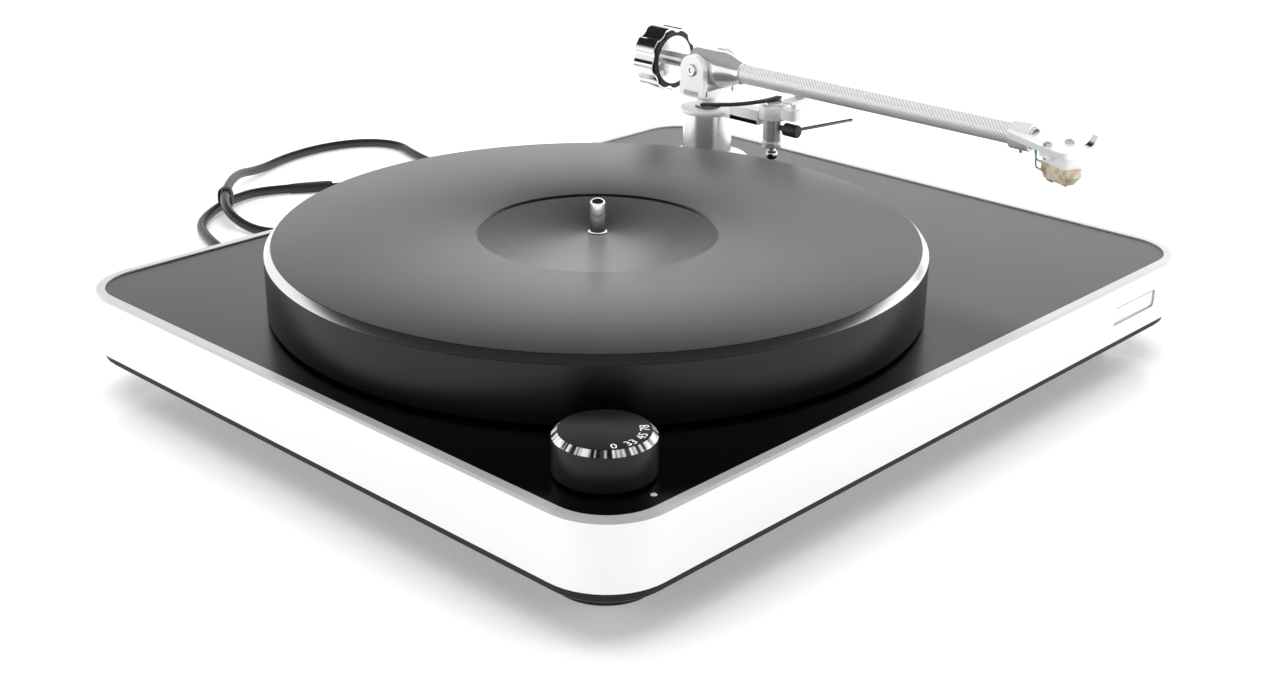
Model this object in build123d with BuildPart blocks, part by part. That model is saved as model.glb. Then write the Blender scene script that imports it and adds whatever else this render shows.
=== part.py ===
from build123d import *
import os
from math import acos, cos, degrees, pi, radians, sin, sqrt, tan

# Belt-drive record player. Millimetres. The origin is the centre of the plinth's
# footprint on the standing surface, +X to the right along the front, +Y to the rear, +Z up.

# ---- driving dimensions ----------------------------------------------------
plinth_width = 420.0
plinth_depth = 350.0
corner_radius = 29.0
foot_height = 18.0            # standing surface to the underside of the base plate
base_thickness = 5.0
base_inset = 2.0              # base plate stands back from the aluminium band
core_thickness = 25.0
deck_thickness = 3.0
band_wall = 5.0
band_lip = 0.7                # band stands this much above the deck
band_edge = 1.0               # chamfer on the band's top edge

foot_radius = 24.0
foot_stud_radius = 4.0
pad_thickness = 3.0
foot_side = 165.0             # left and right front feet
foot_front = -130.0
foot_rear = 135.0

platter_x = -44.0
platter_y = -6.0
platter_radius = 150.0
platter_gap = 1.2             # deck to the underside of the platter
platter_thickness = 29.3
platter_chamfer = 3.3
platter_ceiling = 17.0        # deck to the roof of the recess under the platter
platter_recess_radius = 128.0
label_radius = 55.0
label_depth = 0.8
spindle_radius = 3.6          # fits the hole of a record
spindle_rise = 16.2           # above the label recess
seat_radius = 4.4             # thicker part of the spindle inside the platter
seat_rise = 0.5               # its shoulder stands this much above the label recess

shaft_radius = 5.0
bearing_radius = 14.0
bearing_bore = 8.0
bearing_flange_radius = 28.0
bearing_flange = 3.0
bearing_floor = 2.0           # bottom of the housing, above the base plate
bush_length = 8.0
ball_radius = 3.0

sub_platter_radius = 75.0
sub_platter_thickness = 10.0
belt_groove = 0.6
belt_width = 4.0
belt_thickness = 0.7
motor_offset = 105.0          # spindle to motor shaft
pulley_radius = 7.0
pulley_height = 8.0
motor_radius = 19.0
motor_height = 19.5
motor_shaft_radius = 1.5
motor_plate_radius = 27.0
isolator_height = 2.0

knob_x = -174.2
knob_y = -138.4
knob_radius = 19.6
knob_height = 16.6
knob_gap = 1.0
knob_chamfer = 2.3
switch_shaft_radius = 3.0
switch_bush_radius = 4.5
lens_radius = 1.3
lens_reach = 24.4             # knob axis to the indicator lens, towards the front

badge_x = 152.2
badge_z = 36.2
badge_width = 39.0
badge_height = 9.0
badge_depth = 1.5

panel_x = 125.0
panel_z = 34.0
panel_width = 96.0
panel_height = 18.0
panel_thickness = 3.0
socket_x = 98.0
socket_bore = 2.8

pivot_distance = 222.0        # spindle to the tonearm's vertical axis
pivot_bearing = 28.25         # degrees from +X, seen from above
pivot_rise = 56.7             # deck to the tonearm's horizontal axis
effective_length = 239.3      # vertical axis to the stylus
offset_angle = 23.0
shell_reach = 35.0            # tube end to the stylus, along the headshell
stylus_drop = 16.7            # tube axis to the stylus tip

pillar_radius = 13.9
pillar_rise = 31.0
collar_radius = 24.0
collar_height = 5.0
axle_radius = 3.0
axle_bore = 1.8
arm_bearing_radius = 6.5
arm_bearing_height = 5.0
tube_radius = 5.4
tube_wall = 0.7
block_radius = 10.0
cheek_thickness = 4.0
cheek_gap = 0.6
pivot_pin_radius = 1.5
stub_radius = 4.0
weight_radius = 18.3
weight_drop = 0.6             # counterweight centre below the tube axis
weight_near = 26.0            # vertical axis to the front of the counterweight

lift_reach = 48.0             # vertical axis to the lift cylinder
lift_radius = 5.5
lift_travel = 2.0
lift_sweep = 52.0             # degrees that the lift bar covers
rest_reach = 62.0             # vertical axis to the arm rest
arm_lowering = 1.9            # degrees from the stored level down to a record

lead_diameter = 5.6
leg_diameter = 3.6
relief_length = 28.0

screw_radius = 2.0
screw_head_radius = 3.8

# ---- named clearances ------------------------------------------------------
fit = 0.02                    # pressed or glued round seats
running = 0.03                # turning and sliding round fits
seat = 0.15                   # flat parts dropped into a frame
soft_gap = 0.3                # between soft parts and their neighbours
screw_gap = 0.05

# ---- levels and axes worked out from them ----------------------------------
base_top = foot_height + base_thickness
deck_top = base_top + core_thickness + deck_thickness
deck_bottom = deck_top - deck_thickness
band_top = deck_top + band_lip
platter_bottom = deck_top + platter_gap
platter_top = platter_bottom + platter_thickness
ceiling = deck_top + platter_ceiling
label_level = platter_top - label_depth
motor_x = platter_x - motor_offset
pivot_x = platter_x + pivot_distance * cos(radians(pivot_bearing))
pivot_y = platter_y + pivot_distance * sin(radians(pivot_bearing))
pivot_z = deck_top + pivot_rise
pillar_top = deck_top + pillar_rise
shell_sine = shell_reach * sin(radians(offset_angle))
tube_end = sqrt(effective_length ** 2 - shell_sine ** 2) - shell_reach * cos(radians(offset_angle))

knob_axis = Plane(origin=(knob_x, knob_y, 0))
spindle_axis = Plane(origin=(platter_x, platter_y, 0))
motor_axis = Plane(origin=(motor_x, platter_y, 0))
pivot_axis = Plane(origin=(pivot_x, pivot_y, 0))
arm_line = Plane(origin=(pivot_x, pivot_y, pivot_z), x_dir=(1, 0, 0), z_dir=(0, -1, 0))
shell_plane = Plane(
    origin=(pivot_x, pivot_y - tube_end, pivot_z),
    x_dir=(-sin(radians(offset_angle)), -cos(radians(offset_angle)), 0),
    z_dir=(0, 0, 1),
)

os.makedirs("parts", exist_ok=True)

# ---- feet ------------------------------------------------------------------
foot_places = [(-foot_side, foot_front), (foot_side, foot_front), (0.0, foot_rear)]
with BuildPart() as feet:
    with BuildSketch(Plane.XY.offset(pad_thickness)):
        with Locations(*foot_places):
            Circle(foot_radius)
    extrude(amount=foot_height - pad_thickness)
    chamfer(feet.edges().group_by(Axis.Z)[0], 2.0)
    chamfer(feet.edges().group_by(Axis.Z)[-1], 1.0)
    with BuildSketch(Plane.XY.offset(foot_height)):
        with Locations(*foot_places):
            Circle(foot_stud_radius)
    extrude(amount=base_thickness + 4.0)
feet.part.label = "feet"
export_step(feet.part, "parts/feet.step")

with BuildPart() as foot_pads:
    with BuildSketch(Plane.XY):
        with Locations(*foot_places):
            Circle(foot_radius - 3.0)
    extrude(amount=pad_thickness)
foot_pads.part.label = "foot_pads"
export_step(foot_pads.part, "parts/foot_pads.step")

# ---- plinth ----------------------------------------------------------------
screw_places = [(x * (plinth_width / 2 - 25), y * 78.0) for x in (-1, 1) for y in (-1, 1)]
screw_places += [(0.0, -(plinth_depth / 2 - 12)), (-70.0, plinth_depth / 2 - 14)]
under_screws = [Plane(origin=(x, y, foot_height), z_dir=(0, 0, -1)) for x, y in screw_places]

with BuildPart() as base_plate:
    with BuildSketch(Plane.XY.offset(foot_height)):
        RectangleRounded(
            plinth_width - 2 * base_inset, plinth_depth - 2 * base_inset, corner_radius - base_inset
        )
        with Locations(*foot_places):
            Circle(foot_stud_radius + screw_gap, mode=Mode.SUBTRACT)
    extrude(amount=base_thickness)
    chamfer(base_plate.faces().sort_by(Axis.Z)[0].outer_wire().edges(), 1.0)
    with Locations(*under_screws):
        CounterSinkHole(screw_radius + screw_gap, screw_head_radius + screw_gap)
base_plate.part.label = "base_plate"
export_step(base_plate.part, "parts/base_plate.step")

screw_length = base_thickness + 12
panel_cut = (panel_width + 2 * seat, panel_height + 2 * seat)
with BuildPart() as side_band:
    with BuildSketch(Plane.XY.offset(base_top)):
        RectangleRounded(plinth_width, plinth_depth, corner_radius)
        RectangleRounded(
            plinth_width - 2 * band_wall,
            plinth_depth - 2 * band_wall,
            corner_radius - band_wall,
            mode=Mode.SUBTRACT,
        )
    extrude(amount=band_top - base_top)
    chamfer(side_band.faces().sort_by(Axis.Z)[-1].outer_wire().edges(), band_edge)
    # shallow plain recess near the right end of the front
    with BuildSketch(Plane.XZ.offset(plinth_depth / 2)):
        with Locations((badge_x, badge_z)):
            RectangleRounded(badge_width, badge_height, 2.0)
    extrude(amount=-badge_depth, mode=Mode.SUBTRACT)
    # window in the rear wall for the connection panel
    with BuildSketch(Plane.XZ.offset(-plinth_depth / 2)):
        with Locations((panel_x, panel_z)):
            RectangleRounded(*panel_cut, 3.0)
    extrude(amount=band_wall, mode=Mode.SUBTRACT)
side_band.part.label = "side_band"
export_step(side_band.part, "parts/side_band.step")

with BuildPart() as front_badge:
    with BuildSketch(Plane.XZ.offset(plinth_depth / 2 - badge_depth)):
        with Locations((badge_x, badge_z)):
            RectangleRounded(badge_width - 2.0, badge_height - 2.0, 1.2)
    extrude(amount=badge_depth - 0.7)
front_badge.part.label = "front_badge"
export_step(front_badge.part, "parts/front_badge.step")

core_width = plinth_width - 2 * (band_wall + seat)
core_depth = plinth_depth - 2 * (band_wall + seat)
core_radius = corner_radius - band_wall - seat
board_x = knob_x + 17.0
board_y = knob_y + 14.0
rear_pocket_depth = 30.0
with BuildPart() as core_board:
    with BuildSketch(Plane.XY.offset(base_top)):
        RectangleRounded(core_width, core_depth, core_radius)
        with Locations((platter_x, platter_y)):
            Circle(bearing_radius + seat, mode=Mode.SUBTRACT)
        with Locations((motor_x, platter_y)):
            Circle(motor_plate_radius + 3.0, mode=Mode.SUBTRACT)
        with Locations((board_x, board_y)):
            RectangleRounded(76.0, 62.0, 8.0, mode=Mode.SUBTRACT)
        with Locations((knob_x, knob_y - lens_reach)):
            Circle(lens_radius + screw_gap, mode=Mode.SUBTRACT)
        with Locations((pivot_x, pivot_y)):
            Circle(pillar_radius + 3.0, mode=Mode.SUBTRACT)
        with Locations((pivot_x, (pivot_y + core_depth / 2) / 2)):
            Rectangle(14.0, core_depth / 2 - pivot_y, mode=Mode.SUBTRACT)
        with Locations((panel_x, (core_depth - rear_pocket_depth) / 2)):
            Rectangle(panel_width + 4.0, rear_pocket_depth, mode=Mode.SUBTRACT)
        with Locations(*foot_places):
            Circle(foot_stud_radius + 1.0, mode=Mode.SUBTRACT)
    extrude(amount=core_thickness)
    with BuildSketch(Plane.XY.offset(base_top)):
        with Locations(*screw_places):
            Circle(screw_radius + screw_gap)
    extrude(amount=screw_length - base_thickness + 1.0, mode=Mode.SUBTRACT)
core_board.part.label = "core_board"
export_step(core_board.part, "parts/core_board.step")

bearing_screw_ring = bearing_radius + 7.0
with BuildPart() as deck_plate:
    with BuildSketch(Plane.XY.offset(deck_bottom)):
        RectangleRounded(core_width, core_depth, core_radius)
        with Locations((platter_x, platter_y)):
            Circle(bearing_radius + seat, mode=Mode.SUBTRACT)
            with PolarLocations(bearing_screw_ring, 3):
                Circle(screw_radius + screw_gap, mode=Mode.SUBTRACT)
        with Locations((motor_x, platter_y)):
            Circle(pulley_radius + 4.0, mode=Mode.SUBTRACT)
        with Locations((knob_x, knob_y)):
            Circle(switch_bush_radius + screw_gap, mode=Mode.SUBTRACT)
        with Locations((knob_x, knob_y - lens_reach)):
            Circle(lens_radius + screw_gap, mode=Mode.SUBTRACT)
        with Locations((pivot_x, pivot_y)):
            Circle(pillar_radius + running, mode=Mode.SUBTRACT)
    extrude(amount=deck_thickness)
deck_plate.part.label = "deck_plate"
export_step(deck_plate.part, "parts/deck_plate.step")

# ---- platter bearing -------------------------------------------------------
housing_bottom = base_top + bearing_floor
flange_top = deck_top + bearing_flange
bore_floor = housing_bottom + 3.0
flange_screws = Plane(origin=(platter_x, platter_y, flange_top))
with BuildPart() as bearing_housing:
    with BuildSketch(spindle_axis.offset(housing_bottom)):
        Circle(bearing_radius)
    extrude(amount=deck_top - housing_bottom)
    with BuildSketch(spindle_axis.offset(deck_top)):
        Circle(bearing_flange_radius)
    extrude(amount=bearing_flange)
    with BuildSketch(spindle_axis.offset(bore_floor)):
        Circle(bearing_bore)
    extrude(amount=flange_top - bore_floor, mode=Mode.SUBTRACT)
    with Locations(flange_screws):
        with PolarLocations(bearing_screw_ring, 3):
            CounterSinkHole(screw_radius + screw_gap, screw_head_radius + screw_gap)
bearing_housing.part.label = "bearing_housing"
export_step(bearing_housing.part, "parts/bearing_housing.step")

with BuildPart() as plinth_screws:
    for head in under_screws:
        with BuildSketch(head):
            Circle(screw_head_radius)
        extrude(amount=-screw_head_radius + screw_radius, taper=45)
        with BuildSketch(head):
            Circle(screw_radius)
        extrude(amount=-screw_length)
    with BuildSketch(flange_screws):
        with PolarLocations(bearing_screw_ring, 3):
            Circle(screw_head_radius)
    extrude(amount=-screw_head_radius + screw_radius, taper=45)
    with BuildSketch(flange_screws):
        with PolarLocations(bearing_screw_ring, 3):
            Circle(screw_radius)
    extrude(amount=-bearing_flange - deck_thickness)
plinth_screws.part.label = "plinth_screws"
export_step(plinth_screws.part, "parts/plinth_screws.step")

pad_top = bore_floor + 2.0
with BuildPart() as thrust_pad:
    with BuildSketch(spindle_axis.offset(bore_floor)):
        Circle(bearing_bore - fit)
    extrude(amount=pad_top - bore_floor)
thrust_pad.part.label = "thrust_pad"
export_step(thrust_pad.part, "parts/thrust_pad.step")

ball_centre = pad_top + ball_radius
with BuildPart() as thrust_ball:
    with Locations((platter_x, platter_y, ball_centre)):
        Sphere(ball_radius)
thrust_ball.part.label = "thrust_ball"
export_step(thrust_ball.part, "parts/thrust_ball.step")

shaft_bottom = ball_centre + 0.5
bush_levels = (shaft_bottom + 1.0, flange_top - bush_length)
with BuildPart() as bearing_bushes:
    for level in bush_levels:
        with BuildSketch(spindle_axis.offset(level)):
            Circle(bearing_bore - fit)
            Circle(shaft_radius + running, mode=Mode.SUBTRACT)
        extrude(amount=bush_length)
bearing_bushes.part.label = "bearing_bushes"
export_step(bearing_bushes.part, "parts/bearing_bushes.step")

with BuildPart() as spindle_shaft:
    with BuildSketch(spindle_axis.offset(shaft_bottom)):
        Circle(shaft_radius)
    extrude(amount=ceiling - shaft_bottom)
    with BuildSketch(spindle_axis.offset(shaft_bottom)):
        Circle(ball_radius + fit)
    extrude(amount=ball_radius - 0.5 + running, mode=Mode.SUBTRACT)
    with BuildSketch(spindle_axis.offset(ceiling)):
        Circle(seat_radius)
    extrude(amount=label_level + seat_rise - ceiling)
    with BuildSketch(spindle_axis.offset(label_level + seat_rise)):
        Circle(spindle_radius)
    extrude(amount=spindle_rise - seat_rise)
    fillet(spindle_shaft.edges().sort_by(Axis.Z)[-1], 1.6)
spindle_shaft.part.label = "spindle_shaft"
export_step(spindle_shaft.part, "parts/spindle_shaft.step")

# ---- platter and sub-platter -----------------------------------------------
disc_bottom = ceiling - sub_platter_thickness
hub_bottom = flange_top + 1.5
groove_bottom = disc_bottom + (sub_platter_thickness - belt_width) / 2 - 0.5
with BuildPart() as sub_platter:
    with BuildSketch(spindle_axis.offset(hub_bottom)):
        Circle(22.0)
    extrude(amount=ceiling - hub_bottom)
    with BuildSketch(spindle_axis.offset(disc_bottom)):
        Circle(sub_platter_radius)
    extrude(amount=sub_platter_thickness)
    with BuildSketch(spindle_axis.offset(groove_bottom)):
        Circle(sub_platter_radius + 1.0)
        Circle(sub_platter_radius - belt_groove, mode=Mode.SUBTRACT)
    extrude(amount=belt_width + 1.0, mode=Mode.SUBTRACT)
    with BuildSketch(spindle_axis.offset(disc_bottom)):
        Circle(sub_platter_radius - 9.0)
        Circle(22.0, mode=Mode.SUBTRACT)
    extrude(amount=5.0, mode=Mode.SUBTRACT)
    with BuildSketch(spindle_axis.offset(hub_bottom)):
        Circle(shaft_radius + fit)
    extrude(amount=ceiling - hub_bottom, mode=Mode.SUBTRACT)
sub_platter.part.label = "sub_platter"
export_step(sub_platter.part, "parts/sub_platter.step")

with BuildPart() as platter:
    with BuildSketch(spindle_axis.offset(platter_bottom)):
        Circle(platter_radius)
    extrude(amount=platter_thickness)
    chamfer(platter.edges().group_by(Axis.Z)[-1], platter_chamfer)
    chamfer(platter.edges().group_by(Axis.Z)[0], 0.6)
    with BuildSketch(spindle_axis.offset(platter_bottom)):
        Circle(platter_recess_radius)
    extrude(amount=ceiling - platter_bottom, mode=Mode.SUBTRACT)
    with BuildSketch(spindle_axis.offset(label_level)):
        Circle(label_radius)
    extrude(amount=label_depth, mode=Mode.SUBTRACT)
    with BuildSketch(spindle_axis.offset(ceiling)):
        Circle(seat_radius + running)
    extrude(amount=label_level - ceiling, mode=Mode.SUBTRACT)
platter.part.label = "platter"
export_step(platter.part, "parts/platter.step")

# ---- motor and belt --------------------------------------------------------
plate_top = deck_bottom - isolator_height
plate_bottom = plate_top - 2.0
motor_bottom = plate_bottom - motor_height
shaft_foot = motor_bottom + 8.0
pulley_bottom = disc_bottom + (sub_platter_thickness - pulley_height) / 2
with BuildPart() as motor:
    with BuildSketch(motor_axis.offset(motor_bottom)):
        Circle(motor_radius)
    extrude(amount=motor_height)
    chamfer(motor.edges().group_by(Axis.Z)[0], 1.5)
    with BuildSketch(motor_axis.offset(shaft_foot)):
        Circle(motor_shaft_radius + running)
    extrude(amount=plate_bottom - shaft_foot, mode=Mode.SUBTRACT)
motor.part.label = "motor"
export_step(motor.part, "parts/motor.step")

with BuildPart() as motor_plate:
    with BuildSketch(motor_axis.offset(plate_bottom)):
        Circle(motor_plate_radius)
        Circle(motor_shaft_radius + 1.5, mode=Mode.SUBTRACT)
    extrude(amount=2.0)
motor_plate.part.label = "motor_plate"
export_step(motor_plate.part, "parts/motor_plate.step")

with BuildPart() as motor_isolators:
    with BuildSketch(motor_axis.offset(plate_top)):
        with PolarLocations(motor_plate_radius - 6.0, 3, start_angle=60):
            Circle(4.5)
    extrude(amount=isolator_height)
motor_isolators.part.label = "motor_isolators"
export_step(motor_isolators.part, "parts/motor_isolators.step")

with BuildPart() as motor_shaft:
    with BuildSketch(motor_axis.offset(shaft_foot + running)):
        Circle(motor_shaft_radius)
    extrude(amount=pulley_bottom + pulley_height - 0.5 - shaft_foot)
motor_shaft.part.label = "motor_shaft"
export_step(motor_shaft.part, "parts/motor_shaft.step")

with BuildPart() as motor_pulley:
    with BuildSketch(motor_axis.offset(pulley_bottom)):
        Circle(pulley_radius + 1.5)
    extrude(amount=pulley_height)
    with BuildSketch(motor_axis.offset(groove_bottom)):
        Circle(pulley_radius + 2.0)
        Circle(pulley_radius, mode=Mode.SUBTRACT)
    extrude(amount=belt_width + 1.0, mode=Mode.SUBTRACT)
    with BuildSketch(motor_axis.offset(pulley_bottom)):
        Circle(motor_shaft_radius + fit)
    extrude(amount=pulley_height, mode=Mode.SUBTRACT)
motor_pulley.part.label = "motor_pulley"
export_step(motor_pulley.part, "parts/motor_pulley.step")

belt_plane = Plane.XY.offset(groove_bottom + 0.5)
belt_inner_large = sub_platter_radius - belt_groove + soft_gap
belt_inner_small = pulley_radius + soft_gap


def belt_loop(extra):
    """Straight runs and end arcs of the belt's path, larger by extra."""
    large = belt_inner_large + extra
    small = belt_inner_small + extra
    lean = 180 - degrees(acos((large - small) / motor_offset))
    side = [(cos(radians(a)), sin(radians(a))) for a in (lean, -lean)]
    start = [(platter_x + large * c, platter_y + large * s) for c, s in side]
    end = [(motor_x + small * c, platter_y + small * s) for c, s in side]
    top = Line(start[0], end[0])
    turn = ThreePointArc(end[0], (motor_x - small, platter_y), end[1])
    bottom = Line(end[1], start[1])
    back = ThreePointArc(start[1], (platter_x + large, platter_y), start[0])
    return [top, turn, bottom, back]


with BuildPart() as drive_belt:
    with BuildSketch(belt_plane):
        with BuildLine():
            belt_loop(belt_thickness)
        make_face()
        with BuildLine():
            belt_loop(0.0)
        make_face(mode=Mode.SUBTRACT)
    extrude(amount=belt_width)
drive_belt.part.label = "drive_belt"
export_step(drive_belt.part, "parts/drive_belt.step")

# ---- speed selector and electronics ----------------------------------------
board_bottom = base_top + 6.0
board_top = board_bottom + 1.6
board_plane = Plane(origin=(board_x, board_y, 0))
with BuildPart() as circuit_board:
    with BuildSketch(board_plane.offset(board_bottom)):
        Rectangle(66.0, 50.0)
        with GridLocations(56.0, 40.0, 2, 2):
            Circle(1.2 + screw_gap, mode=Mode.SUBTRACT)
    extrude(amount=board_top - board_bottom)
circuit_board.part.label = "circuit_board"
export_step(circuit_board.part, "parts/circuit_board.step")

with BuildPart() as board_standoffs:
    with BuildSketch(board_plane.offset(base_top)):
        with GridLocations(56.0, 40.0, 2, 2):
            Circle(3.0)
    extrude(amount=board_bottom - base_top)
    with BuildSketch(board_plane.offset(board_bottom)):
        with GridLocations(56.0, 40.0, 2, 2):
            Circle(1.2)
    extrude(amount=3.0)
board_standoffs.part.label = "board_standoffs"
export_step(board_standoffs.part, "parts/board_standoffs.step")

bush_top = deck_top + knob_gap + 2.0
shaft_level = board_top + 4.0
with BuildPart() as speed_switch:
    with BuildSketch(knob_axis.offset(board_top)):
        Circle(8.0)
    extrude(amount=deck_bottom - board_top)
    with BuildSketch(knob_axis.offset(deck_bottom)):
        Circle(switch_bush_radius)
    extrude(amount=bush_top - deck_bottom)
    with BuildSketch(knob_axis.offset(shaft_level)):
        Circle(switch_shaft_radius + running)
    extrude(amount=bush_top - shaft_level, mode=Mode.SUBTRACT)
speed_switch.part.label = "speed_switch"
export_step(speed_switch.part, "parts/speed_switch.step")

with BuildPart() as switch_nut:
    with BuildSketch(knob_axis.offset(deck_top)):
        RegularPolygon(7.0, 6)
        Circle(switch_bush_radius + screw_gap, mode=Mode.SUBTRACT)
    extrude(amount=2.4)
switch_nut.part.label = "switch_nut"
export_step(switch_nut.part, "parts/switch_nut.step")

knob_bottom = deck_top + knob_gap
knob_top = knob_bottom + knob_height
knob_socket = knob_bottom + 6.0
with BuildPart() as switch_shaft:
    with BuildSketch(knob_axis.offset(shaft_level + running)):
        Circle(switch_shaft_radius)
    extrude(amount=knob_top - 3.5 - shaft_level)
switch_shaft.part.label = "switch_shaft"
export_step(switch_shaft.part, "parts/switch_shaft.step")

with BuildPart() as speed_knob:
    with BuildSketch(knob_axis.offset(knob_bottom)):
        Circle(knob_radius)
    extrude(amount=knob_height)
    chamfer(speed_knob.edges().group_by(Axis.Z)[-1], knob_chamfer)
    with BuildSketch(knob_axis.offset(knob_bottom)):
        Circle(12.0)
    extrude(amount=knob_socket - knob_bottom, mode=Mode.SUBTRACT)
    with BuildSketch(knob_axis.offset(knob_socket)):
        Circle(switch_shaft_radius + fit)
    extrude(amount=knob_top - 3.0 - knob_socket, mode=Mode.SUBTRACT)
speed_knob.part.label = "speed_knob"
export_step(speed_knob.part, "parts/speed_knob.step")

with BuildPart() as indicator_lens:
    with BuildSketch(Plane(origin=(knob_x, knob_y - lens_reach, deck_top - 11.0))):
        Circle(lens_radius)
    extrude(amount=11.0 + 0.1)
indicator_lens.part.label = "indicator_lens"
export_step(indicator_lens.part, "parts/indicator_lens.step")

# ---- connection panel ------------------------------------------------------
rear_face = plinth_depth / 2
panel_face = rear_face - 0.5
panel_back = panel_face - panel_thickness
gland_radius = lead_diameter / 2 + 2.4
with BuildPart() as rear_panel:
    with BuildSketch(Plane.XZ.offset(-panel_back)):
        with Locations((panel_x, panel_z)):
            RectangleRounded(panel_width, panel_height, 3.0)
        with Locations((socket_x, panel_z)):
            Circle(socket_bore + 2.7 + fit, mode=Mode.SUBTRACT)
        with Locations((pivot_x, panel_z)):
            Circle(gland_radius + fit, mode=Mode.SUBTRACT)
    extrude(amount=-panel_thickness)
rear_panel.part.label = "rear_panel"
export_step(rear_panel.part, "parts/rear_panel.step")

with BuildPart() as power_socket:
    with BuildSketch(Plane.XZ.offset(-panel_back + 13.0)):
        with Locations((socket_x, panel_z)):
            Rectangle(12.0, 13.0)
    extrude(amount=-13.0)
    with BuildSketch(Plane.XZ.offset(-panel_back)):
        with Locations((socket_x, panel_z)):
            Circle(socket_bore + 2.7)
    extrude(amount=-panel_thickness)
    with BuildSketch(Plane.XZ.offset(-panel_face)):
        with Locations((socket_x, panel_z)):
            Circle(socket_bore)
            Circle(1.0, mode=Mode.SUBTRACT)
    extrude(amount=11.0, mode=Mode.SUBTRACT)
power_socket.part.label = "power_socket"
export_step(power_socket.part, "parts/power_socket.step")

relief_start = panel_face
relief_end = relief_start + relief_length
with BuildPart() as lead_relief:
    with BuildSketch(Plane.XZ.offset(-panel_back)):
        with Locations((pivot_x, panel_z)):
            Circle(gland_radius)
    extrude(amount=-panel_thickness)
    with BuildSketch(Plane.XZ.offset(-relief_start)):
        with Locations((pivot_x, panel_z)):
            Circle(gland_radius + 1.2)
    extrude(amount=-2.0)
    with BuildSketch(Plane.XZ.offset(-relief_start - 2.0)):
        with Locations((pivot_x, panel_z)):
            Circle(gland_radius)
    with BuildSketch(Plane.XZ.offset(-relief_end)):
        with Locations((pivot_x, panel_z)):
            Circle(lead_diameter / 2 + 0.4)
    loft()
lead_relief.part.label = "lead_relief"
export_step(lead_relief.part, "parts/lead_relief.step")

inner_lead_start = pivot_y + pillar_radius + 0.5
with BuildPart() as inner_lead:
    with BuildSketch(Plane.XZ.offset(-inner_lead_start)):
        with Locations((pivot_x, panel_z)):
            Circle(lead_diameter / 2)
    extrude(amount=-(panel_back - inner_lead_start))
inner_lead.part.label = "inner_lead"
export_step(inner_lead.part, "parts/inner_lead.step")

# ---- tonearm pillar --------------------------------------------------------
pillar_bottom = base_top + 5.0
axle_bottom = pillar_top - 27.0
bearing_levels = (pillar_top - 24.0, pillar_top - 2.0 - arm_bearing_height)
with BuildPart() as arm_collar:
    with BuildSketch(pivot_axis.offset(deck_top)):
        Circle(collar_radius)
        Circle(pillar_radius + running, mode=Mode.SUBTRACT)
    extrude(amount=collar_height)
    chamfer(arm_collar.faces().sort_by(Axis.Z)[-1].outer_wire().edges(), 1.0)
arm_collar.part.label = "arm_collar"
export_step(arm_collar.part, "parts/arm_collar.step")

with BuildPart() as arm_pillar:
    with BuildSketch(pivot_axis.offset(pillar_bottom)):
        Circle(pillar_radius)
    extrude(amount=pillar_top - pillar_bottom)
    with BuildSketch(pivot_axis.offset(axle_bottom - 2.0)):
        Circle(arm_bearing_radius)
    extrude(amount=pillar_top - axle_bottom + 2.0, mode=Mode.SUBTRACT)
    with BuildSketch(pivot_axis.offset(pillar_bottom)):
        Circle(3.0)
    extrude(amount=axle_bottom - pillar_bottom, mode=Mode.SUBTRACT)
arm_pillar.part.label = "arm_pillar"
export_step(arm_pillar.part, "parts/arm_pillar.step")

with BuildPart() as arm_bearings:
    for level in bearing_levels:
        with BuildSketch(pivot_axis.offset(level)):
            Circle(arm_bearing_radius - fit)
            Circle(axle_radius + running, mode=Mode.SUBTRACT)
        extrude(amount=arm_bearing_height)
arm_bearings.part.label = "arm_bearings"
export_step(arm_bearings.part, "parts/arm_bearings.step")

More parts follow.
